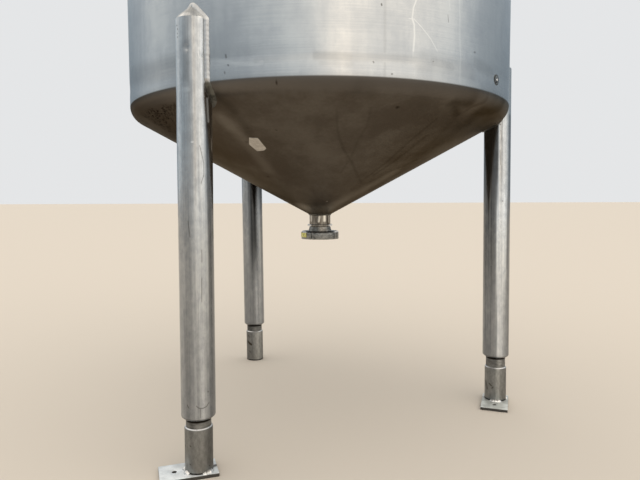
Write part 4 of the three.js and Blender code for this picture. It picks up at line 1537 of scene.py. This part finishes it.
def add_lugs():
    half = LUG_W / 2
    eye_z = LUG_H - half
    fitting = steel("lug_steel", 0.52, 0.06, 0.38, 20)
    for side, azimuth in (("right", 0.0), ("left", pi)):
        place = AXIS + azimuth_vector(azimuth) * LUG_OUT + UP * top_z(LUG_OUT)
        arch = [(half * cos(a), eye_z + half * sin(a)) for a in np.linspace(0, pi, 33)]
        feet = [(x, -x * tan(TOP_SLOPE)) for x in (-half, half)]
        eye = circle(LUG_EYE_R, 40, (0, eye_z))
        stand = upright(place, azimuth) @ Matrix.Rotation(radians(90), 4, "X")
        form = Form().flat_plate([[*feet, *arch], eye[::-1]], LUG_T, PLATE_BEVEL, stand)
        add_piece(f"lug_{side}", form, fitting, "leg_steel", f"lifting_lug_{side}")
        welds = Form()
        out = azimuth_vector(azimuth)
        across = out.cross(UP)
        for face in (-1, 1):
            sections = []
            for number, x in enumerate(np.linspace(-half + 0.002, half - 0.002, 25)):
                spot = on_top(place + out * x) + across * face * LUG_T / 2
                size = LUG_WELD_W * unevenness(spot, number)
                sections.append(bead_section(spot, UP, across * face, size, size))
            welds.sweep(sections)
        add_piece(f"lug_weld_{side}", welds, fitting_weld_finish(), "leg_steel")


# Finishes

# Dark colour for marks: dirt, stains and dark joints, and painted shade where a mask stands for shade
DIRT_AND_SHADE = (0.05, 0.04, 0.028, 1.0)
SHADE = (0.012, 0.01, 0.008, 1.0)
# Pale colour for marks: bare scratches, and painted highlights where a mask stands for light
BARE_AND_SHEEN = (0.8, 0.79, 0.76, 1.0)
EDGE_TINT = (0.8, 0.82, 0.84, 1.0)


def steel(name, level, spread, rough, scale):
    """Dull steel, a little cloudy."""
    f = Finish(name)
    clouds = f.grain(scale, detail=5)
    colour = f.blend(clouds, grey(level - spread), grey(level + spread), 0.3, 0.7)
    return f.done(colour, f.ease(clouds, 0.2, 0.8, rough + 0.05, rough - 0.05))


def cloudy(name, scale, dark, light, rough, detail=4.0, metallic=1.0, bump=None):
    """A surface of one roughness and two colours in clouds, with a bump of (strength, distance)."""
    f = Finish(name, metallic)
    clouds = f.grain(scale, detail)
    if bump:
        f.bump(clouds, *bump)
    return f.done(f.blend(clouds, dark, light), rough)


def sheet_steel(f, flat):
    """Colour and roughness of the shell's sheet, with its seam, scratches and scuffs, and painted reflection
    and shade bands.
    """
    streaks = f.grain((26, 1.3, 1), 7, 0.6, flat)
    smears = f.grain((6, 4.5, 1), 8, 0.68, flat, offset=3)
    brushed = f.grain((3, 330, 1), 4, 0.7, flat, offset=5)
    share = f.plus(f.plus(f.times(streaks, 0.2), f.times(smears, 0.55)), f.times(brushed, 0.25))
    colour = f.blend(share, (0.5, 0.51, 0.52, 1), (0.65, 0.645, 0.63, 1), 0.38, 0.62)
    light = f.marks(flat, SHELL_LIGHT_MARKS, tube_place)
    dark = f.marks(flat, SHELL_DARK_MARKS, tube_place)
    seam_arc = (SEAM_AZIMUTH + pi / 2) * SHELL_R
    seam = f.near_line(flat, [(seam_arc, BOTTOM_TANGENT_Z), (seam_arc, TOP_SEAM_Z)], 0.0046, 0.9)
    fine = f.grain((22, 240, 1), 3, place=flat, offset=9)
    scratches = f.times(f.ease(fine, 0.66, 0.74), 0.22)
    # Light marks and scratches, then dark marks and the seam: part real wear and stains, part painted
    # highlight and shade
    colour = f.mix(f.most(light, scratches), colour, BARE_AND_SHEEN)
    colour = f.mix(f.most(dark, f.times(seam, 0.11)), colour, DIRT_AND_SHADE)
    return colour, f.ease(share, 0.3, 0.7, 0.27, 0.19)


def shell_finish():
    f = Finish("rolled_shell_steel")
    f.set("Specular Tint", EDGE_TINT)
    return f.done(*sheet_steel(f, f.unrolled(AXIS, SHELL_R)))


def cone_flat(pixel):
    """A pixel on the bottom end as its place in plan."""
    return tuple(cone_place(pixel).xy)


def bottom_finish():
    f = Finish("weathered_and_shaded_bottom_steel")
    flat = f.plan()
    below = f.ease(f.height(), BOTTOM_TANGENT_Z + 0.002, BOTTOM_TANGENT_Z - 0.004)
    # The dark brown base is a painted reflection of a brown ground in shade under the tank, clouded
    share = f.plus(f.times(f.grain(4, 8, 0.62), 0.85), f.times(f.grain(90, 3), 0.15))
    brown = f.blend(share, (0.104, 0.088, 0.072, 1), (0.156, 0.138, 0.116, 1), 0.38, 0.64)
    # Painted light and shade on the knuckle: lighter where it reflects level light, darker towards the front
    # right, grey towards the right
    knuckle = f.ease(f.height(), KNUCKLE_END_Z - 0.012, BOTTOM_TANGENT_Z - 0.01)
    knuckle_front_shade = f.times(knuckle, f.facing(SHELL_R, 28, 38, 22))
    tip = f.times(knuckle, f.facing(SHELL_R, 66, 14, 12))
    # Painted shade over the left of the bottom end, weaker on the knuckle
    left = f.times(f.facing(SHELL_R, -85, 46, 12), f.ease(knuckle, 0.95, 0.55, 0.35, 1.0))
    clusters = f.ease(f.grain(9, 2), 0.34, 0.46)
    pits = f.times(f.spots(105, 0.56), f.times(left, clusters))
    # The pits are real; the other layers lay on the painted light and shade above and the bottom end's marks
    layers = (
        (f.times(knuckle, 0.8), (0.14, 0.129, 0.118, 1)),
        (f.times(knuckle_front_shade, 0.75), (0.09, 0.082, 0.074, 1)),
        (f.times(tip, 0.75), (0.21, 0.215, 0.215, 1)),
        (f.marks(flat, CONE_DARK_MARKS, cone_flat, 0.9), (0.035, 0.029, 0.022, 1)),
        (f.marks(flat, CONE_LIGHT_MARKS, cone_flat, 0.9), (0.5, 0.46, 0.4, 1)),
        (f.times(left, 0.75), (0.08, 0.074, 0.07, 1)),
        (f.times(pits, f.ease(knuckle, 0.35, 0.05)), (0.003, 0.002, 0.002, 1)),
    )
    for mask, colour in layers:
        brown = f.mix(mask, brown, colour)
    flange, rough = sheet_steel(f, f.unrolled(AXIS, SHELL_R))
    # Painted shade: the flange darkens towards the knuckle
    edge = f.ease(f.height(), BOTTOM_TANGENT_Z + 0.02, BOTTOM_TANGENT_Z - 0.006, 0.0, 0.22)
    flange = f.mix(edge, flange, (0.22, 0.2, 0.17, 1))
    # Under the tank the edge tint turns dark brown, to go with the painted brown reflection
    f.set("Specular Tint", f.mix(below, EDGE_TINT, (0.35, 0.33, 0.3, 1)))
    return f.done(f.mix(below, flange, brown), f.most(rough, f.times(below, 0.42)))


# Painted light and shade round a leg, standing for what it reflects, as stops of (front angle in degrees,
# tone):
# beside the shell, just under it, half way down and near the ground, with the heights between which each
# fades into the next
LEG_PAINTED_SHADING = {
    "left": (
        ((-32, 1.05), (-20, 0.82), (-6, 0.62), (2, 0.73), (9, 0.66), (20, 0.8), (38, 1.15), (55, 0.85)),
        (
            (-36, 1.05), (-18, 0.88), (-4, 0.65), (11, 0.63), (20, 0.8),
            (36, 1.05), (46, 0.88), (53, 0.36), (68, 0.6),
        ),
        ((-35, 0.6), (-12, 0.49), (4, 0.69), (18, 0.98), (30, 0.92), (39, 1.0), (49, 0.85), (58, 0.28)),
        ((-45, 0.6), (-24, 0.39), (-6, 0.5), (6, 0.68), (12, 0.6), (28, 0.95), (44, 0.66), (60, 0.4)),
    ),
    "right": (
        ((-60, 0.9), (60, 0.9)),
        ((-62, 0.28), (-30, 0.22), (-16, 0.18), (-9, 0.9), (2, 0.6), (12, 1.08), (30, 0.85), (44, 0.5)),
        ((-60, 0.26), (-29, 0.27), (-21, 0.45), (-14, 1.35), (4, 1.2), (15, 1.4), (26, 1.15), (36, 0.42)),
        ((-58, 0.45), (-25, 0.5), (-16, 0.62), (-8, 1.3), (9, 1.1), (20, 0.74), (32, 0.55), (46, 0.38)),
    ),
    "back": (
        ((-60, 0.5), (60, 0.5)),
        ((-36, 0.66), (-24, 0.68), (-12, 0.22), (0, 0.09), (26, 0.04), (36, 0.06), (50, 0.22), (64, 0.12)),
        ((-36, 0.5), (-24, 0.58), (-12, 0.33), (0, 0.11), (24, 0.1), (35, 0.5), (49, 0.66), (66, 0.35)),
        ((-38, 0.43), (-20, 0.43), (-5, 0.43), (11, 0.48), (22, 0.76), (32, 0.66), (49, 0.66), (66, 0.42)),
    ),
}
TONE_FADES = (
    (BOTTOM_TANGENT_Z + 0.004, BOTTOM_TANGENT_Z - 0.012),
    (1.08, 0.8),
    (0.72, 0.35),
)
# Tints of the painted shading, cooler lower down
SHADING_TINTS = ((1.0, 1.0, 1.0, 1), (1.0, 1.0, 1.0, 1), (0.94, 1.0, 1.07, 1), (0.94, 1.0, 1.08, 1))


def leg_finish(side):
    f = Finish(f"drawn_leg_steel_{side}")
    flat = f.unrolled(leg_axis(side), LEG_R, leg_slope(side))
    to_flat = partial(leg_place, side)
    streaks = f.grain((170, 2.5, 1), 6, 0.65, flat)
    smears = f.grain((45, 22, 1), 8, 0.72, flat, offset=2)
    share = f.plus(f.times(streaks, 0.45), f.times(smears, 0.55))
    colour = f.blend(share, (0.5, 0.505, 0.51, 1), (0.75, 0.745, 0.73, 1), 0.36, 0.64)
    # Painted reflections and shade round the leg, fading from row to row down it
    tones = [f.tinted(f.tones(flat, LEG_R, stops), tint) for stops, tint in zip(LEG_PAINTED_SHADING[side], SHADING_TINTS)]
    tone = tones[0]
    for lower, (high_z, low_z) in zip(tones[1:], TONE_FADES):
        tone = f.mix(f.ease(f.height(), high_z, low_z), tone, lower)
    colour = f.tinted(colour, tone)
    # Light marks: scratches and painted highlights; dark marks: pits, scuffs and painted shade
    colour = f.mix(f.marks(flat, LEG_LIGHT_MARKS[side], to_flat), colour, BARE_AND_SHEEN)
    colour = f.mix(f.marks(flat, LEG_DARK_MARKS[side], to_flat), colour, DIRT_AND_SHADE)
    # Painted shade on the chamfer at the leg's lower end
    end = span(f"leg_{side}")[0] + LEG_CHAMFER
    colour = f.mix(f.ease(f.height(), end + 0.001, end - 0.002, 0.0, 0.55), colour, DIRT_AND_SHADE)
    # Painted sheen: pale grey and made less metallic
    if side in LEG_SHEEN_MARKS:
        sheen = f.marks(flat, LEG_SHEEN_MARKS[side], to_flat, 0.9)
        colour = f.mix(sheen, colour, (0.27, 0.29, 0.305, 1))
        f.set("Metallic", f.math("SUBTRACT", 1.0, f.times(sheen, 0.8)))
    f.bump(share, 0.12, 0.0015)
    return f.done(colour, f.ease(share, 0.3, 0.7, 0.26, 0.17))


def leg_weld_finish():
    """A weld that is bright on the shell's side, with painted shade below the tank."""
    f = Finish("leg_weld_steel")
    clouds = f.grain(60)
    bright = f.blend(clouds, (0.43, 0.435, 0.44, 1), (0.54, 0.545, 0.55, 1))
    dirt_and_shade = f.blend(clouds, (0.07, 0.068, 0.06, 1), (0.13, 0.128, 0.112, 1))
    f.bump(clouds, 0.15, 0.001)
    low, high = BOTTOM_TANGENT_Z - 0.008, BOTTOM_TANGENT_Z + 0.006
    return f.done(f.blend(f.height(), dirt_and_shade, bright, low, high), 0.36)


def fitting_weld_finish():
    return cloudy("fitting_weld_steel", 90, grey(0.34), grey(0.55), 0.4, bump=(0.3, 0.001))


def bright_weld_finish():
    f = Finish("foot_weld_steel")
    clouds = f.grain(220)
    f.bump(clouds, 0.5, 0.002)
    return f.done(f.blend(clouds, (0.18, 0.165, 0.15, 1), (0.76, 0.755, 0.74, 1), 0.32, 0.5), 0.36)


# Painted light and shade round each foot's neck
NECK_PAINTED_SHADING = {
    "left": ((-45, 1.0), (-20, 0.66), (8, 1.0), (30, 1.15), (60, 0.8)),
    "right": ((-50, 0.9), (-18, 0.72), (8, 1.6), (28, 0.85), (60, 0.9)),
    "back": ((-60, 0.5), (-20, 0.55), (10, 0.95), (60, 0.95)),
}


def neck_finish(side):
    f = Finish(f"neck_steel_{side}")
    flat = f.unrolled(leg_axis(side), NECK_R, leg_slope(side))
    colour = f.blend(f.grain((40, 40, 90), 5), (0.165, 0.165, 0.158, 1), (0.27, 0.27, 0.262, 1))
    colour = f.tinted(colour, f.tones(flat, NECK_R, NECK_PAINTED_SHADING[side]))
    ring_z = span(f"leg_{side}")[0]
    return f.done(f.mix(f.ease(f.height(), ring_z - 0.011, ring_z - 0.006), colour, SHADE), 0.5)


# Painted light and shade round each sleeve
SLEEVE_PAINTED_SHADING = {
    "left": ((-60, 0.95), (-36, 1.0), (-20, 0.78), (0, 0.94), (25, 1.0), (40, 0.86), (58, 0.55), (80, 0.6)),
    "right": ((-60, 1.0), (-45, 0.95), (-20, 1.0), (-12, 1.4), (0, 1.5), (10, 1.1), (25, 0.9), (60, 0.8)),
    "back": ((-40, 0.75), (-26, 0.85), (-13, 0.75), (0, 1.0), (18, 1.35), (32, 1.6), (50, 1.35), (70, 0.9)),
}


def sleeve_finish(side):
    f = Finish(f"sleeve_steel_{side}")
    low, top = span(f"foot_sleeve_{side}")
    flat = f.unrolled(leg_axis(side), SLEEVE_R, leg_slope(side))
    smears = f.grain((70, 30, 1), 7, 0.7, flat)
    colour = f.blend(smears, (0.205, 0.205, 0.195, 1), (0.31, 0.31, 0.3, 1), 0.3, 0.7)
    colour = f.tinted(colour, f.tones(flat, SLEEVE_R, SLEEVE_PAINTED_SHADING[side]))
    # A broken painted highlight along the top chamfer
    chamfer = f.ease(f.height(), top - 0.0036, top - 0.0026, 0.0, 0.9)
    sheen = f.ease(f.grain((120, 1, 1), 3, place=flat), 0.3, 0.44)
    colour = f.mix(f.times(chamfer, sheen), colour, grey(0.75))
    dirt_and_shade = f.marks(flat, SLEEVE_DARK_MARKS[side], partial(leg_place, side, radius=SLEEVE_R))
    colour = f.mix(dirt_and_shade, colour, DIRT_AND_SHADE)
    gap = f.ease(f.height(), low + 0.007, low + 0.003)
    return f.done(f.mix(gap, colour, SHADE), f.ease(smears, 0.3, 0.7, 0.52, 0.42))


PLATE_TONES = {
    "left": ((0.7, 0.73, 0.75, 1), (0.9, 0.93, 0.95, 1)),
    "right": ((0.56, 0.575, 0.55, 1), (0.74, 0.76, 0.73, 1)),
}
PLATE_DARK_MARKS = {
    "left": ((((178, 466), (186, 466)), 0.016, 0.22), (((210, 467.4), (218, 464.4)), 0.007, 0.9)),
    "right": (
        (((505, 397), (506.5, 403)), 0.014, 0.3),
        (((484, 396), (483.5, 400)), 0.012, 0.3),
        (((494.5, 403), (496.5, 403.4)), 0.004, 0.4),
    ),
}


def plate_flat(pixel):
    """A pixel on a base plate as its place in plan."""
    ray = pixel_ray(pixel)
    spot = CAMERA_PLACE + ray * ((PLATE_T - CAMERA_PLACE.z) / ray.z)
    return spot.x, spot.y


def plate_finish(side):
    f = Finish(f"plate_steel_{side}", metallic=0.55)
    colour = f.blend(f.grain(22, 6, 0.65), *PLATE_TONES[side])
    colour = f.mix(f.marks(f.plan(), PLATE_DARK_MARKS[side], plate_flat, 0.9), colour, DIRT_AND_SHADE)
    # Painted shade where the plate does not face up: its sides and bevels
    return f.done(f.blend(f.dot(f.normal, UP), (0.07, 0.065, 0.06, 1), colour, 0.3, 0.8), 0.5)


# A painted shadow under the boss's stud
BOSS_SHADOW_MARKS = ((((495.9, 82.2), (497.0, 82.2)), 0.003, 1.0),)


def boss_finish(middle):
    """Dull steel with a painted shade ring at its rim and a painted shadow under the stud."""
    f = Finish("boss_steel")
    colour = f.blend(f.grain(90, 3), (0.19, 0.195, 0.19, 1), (0.29, 0.295, 0.29, 1))
    rim = f.ease(f.vector("DISTANCE", f.place, tuple(middle), output="Value"), 0.0135, 0.0155)
    stud_shadow = f.marks(f.unrolled(AXIS, SHELL_R), BOSS_SHADOW_MARKS, tube_place)
    return f.done(f.mix(f.most(f.times(rim, 0.7), stud_shadow), colour, (0.02, 0.02, 0.018, 1)), 0.4)


def polished_finish(name):
    f = Finish(name)
    return f.done(f.blend(f.grain((6, 6, 420), 3), grey(0.6), grey(0.72), 0.3, 0.7), 0.2)


# Painted glints on the outlet's stub
STUB_LIGHT_MARKS = (
    (((311.2, 215.5), (311.2, 220.5)), 0.005, 0.5),
    (((319.4, 217.0), (318.8, 221.5)), 0.004, 0.7),
    (((324.6, 216.0), (324.6, 220.5)), 0.0058, 0.9),
    (((328.8, 216.0), (328.8, 222.0)), 0.0026, 0.5),
)


def outlet_finish():
    """Turned steel, painted dark for the dark surroundings it reflects, with a few painted glints."""
    f = Finish("outlet_steel")
    flat = f.unrolled(AXIS, STUB_R)
    colour = f.blend(f.grain((110, 14, 1), 5, place=flat), (0.12, 0.1, 0.08, 1), (0.27, 0.25, 0.22, 1))
    glints = f.marks(flat, STUB_LIGHT_MARKS, partial(tube_place, radius=STUB_R), 0.95)
    return f.done(f.mix(glints, colour, (0.95, 0.9, 0.8, 1)), 0.28)


def glinting_sides(f, colour, mask, radius):
    """Painted highlights at the left and right of a union's ring: pale, and made less metallic so that they
    scatter light.
    """
    sides = f.most(f.facing(radius, -74, 28, 8), f.facing(radius, 74, 28, 8))
    sheen = f.times(mask, sides)
    f.set("Metallic", f.ease(sheen, 0.0, 1.0, 1.0, 0.1))
    return f.mix(sheen, colour, grey(0.95))


def liner_finish(top):
    """Dull steel, with painted highlights on its collar at the sides."""
    f = Finish("outlet_liner_steel")
    colour = f.blend(f.grain((60, 60, 110), 5), (0.16, 0.145, 0.125, 1), (0.3, 0.28, 0.25, 1))
    collar = f.ease(f.height(), top - COLLAR_H - 0.002, top - COLLAR_H)
    return f.done(glinting_sides(f, colour, collar, COLLAR_R), 0.32)


def nut_finish(name, top=None):
    """Dull dark steel; if a height is given for its upper rim, that rim is painted dark, a painted
    reflection of the cone above, with painted highlights at its sides.
    """
    f = Finish(name)
    colour = f.blend(f.grain((60, 60, 110), 5), (0.15, 0.152, 0.148, 1), (0.3, 0.304, 0.296, 1))
    if top:
        rim = f.ease(f.height(), top - 0.006, top - 0.005)
        colour = glinting_sides(f, f.mix(rim, colour, (0.06, 0.055, 0.05, 1)), rim, NUT_R)
    return f.done(colour, 0.32)


def tag_finish():
    dark, light = (0.58, 0.54, 0.12, 1), (0.8, 0.76, 0.28, 1)
    return cloudy("faded_yellow_tag", 120, dark, light, 0.55, metallic=0.0)


def label_finish():
    dark, light = (0.42, 0.385, 0.335, 1), (0.54, 0.505, 0.45, 1)
    return cloudy("label_remnant", 50, dark, light, 0.7, detail=5, metallic=0.0)


def paint_finish():
    f = Finish("drive_enamel", metallic=0.0)
    colour = f.blend(f.grain(12, 5), (0.085, 0.14, 0.175, 1), (0.115, 0.175, 0.215, 1), 0.3, 0.7)
    f.set("Coat Weight", 0.25)
    f.set("Coat Roughness", 0.25)
    chips = f.times(f.spots(55, 0.1), 0.35)
    return f.done(f.mix(chips, colour, (0.2, 0.2, 0.19, 1)), 0.42)


# Stage

FLOOR_R = 900


def add_stage():
    floor = Form().lathe([(0, -0.02), (FLOOR_R, -0.02), (FLOOR_R, -0.0004), (0, -0.0004)], 96)
    piece = new_object("floor", floor.mesh("floor"))
    f = Finish("pale_floor", metallic=0.0)
    f.set("Specular IOR Level", 0.1)
    piece.data.materials.append(f.done((0.66, 0.6, 0.53, 1.0), 0.9))


# Soft studio light: a pale surround, brighter overhead and in a few wide directions
SURROUND = 0.36
SKY = 1.25
LOBES = (
    # front angle, sharpness, gain
    (12, 60, 0.44),
    (22, 3, 0.56),
    (60, 6, 0.37),
    (81, 30, 0.12),
    (-24, 9, 0.06),
    (-107, 14, 0.31),
)
COOL = (0.84, 0.99, 1.11, 1.0)
WARM = (1.07, 1.0, 0.9, 1.0)
BACKDROP = (0.78, 0.79, 0.8, 1.0)


def add_light():
    world = bpy.data.worlds.new("studio")
    world.use_nodes = True
    world.node_tree.nodes.clear()
    n = Nodes(world.node_tree)
    direction = n.node("ShaderNodeTexCoord", output="Generated")
    level = n.vector("NORMALIZE", n.vector("MULTIPLY", direction, (1.0, 1.0, 0.0)))
    rising = n.dot(direction, UP)
    lobes = 0.0
    for angle, sharpness, gain in LOBES:
        cosine = n.most(n.dot(level, front_vector(radians(angle))), 0.0)
        lobes = n.math("MULTIPLY_ADD", n.math("POWER", cosine, float(sharpness)), gain, lobes)
    fading = n.math("SUBTRACT", 1.0, n.times(rising, rising))
    overhead = n.ease(rising, 0.16, 0.75, SURROUND, SKY)
    total = n.math("MULTIPLY_ADD", lobes, fading, overhead)
    tint = n.mix(n.level(total, SURROUND, 1.35), COOL, WARM)
    light = n.node("ShaderNodeBackground", (("Color", tint), ("Strength", total)))
    backdrop = n.node("ShaderNodeBackground", (("Color", BACKDROP), ("Strength", 1.0)))
    is_camera = n.node("ShaderNodeLightPath", output="Is Camera Ray")
    shown = n.node("ShaderNodeMixShader", enumerate((is_camera, light, backdrop)))
    out = world.node_tree.nodes.new("ShaderNodeOutputWorld")
    n.feed(out.inputs["Surface"], shown)
    bpy.context.scene.world = world
    bpy.context.scene.view_settings.view_transform = "Standard"


add_camera()
add_stage()
add_light()
add_vessel()
add_legs()
add_outlet()
add_inlet()
add_manway()
add_agitator()
add_lugs()
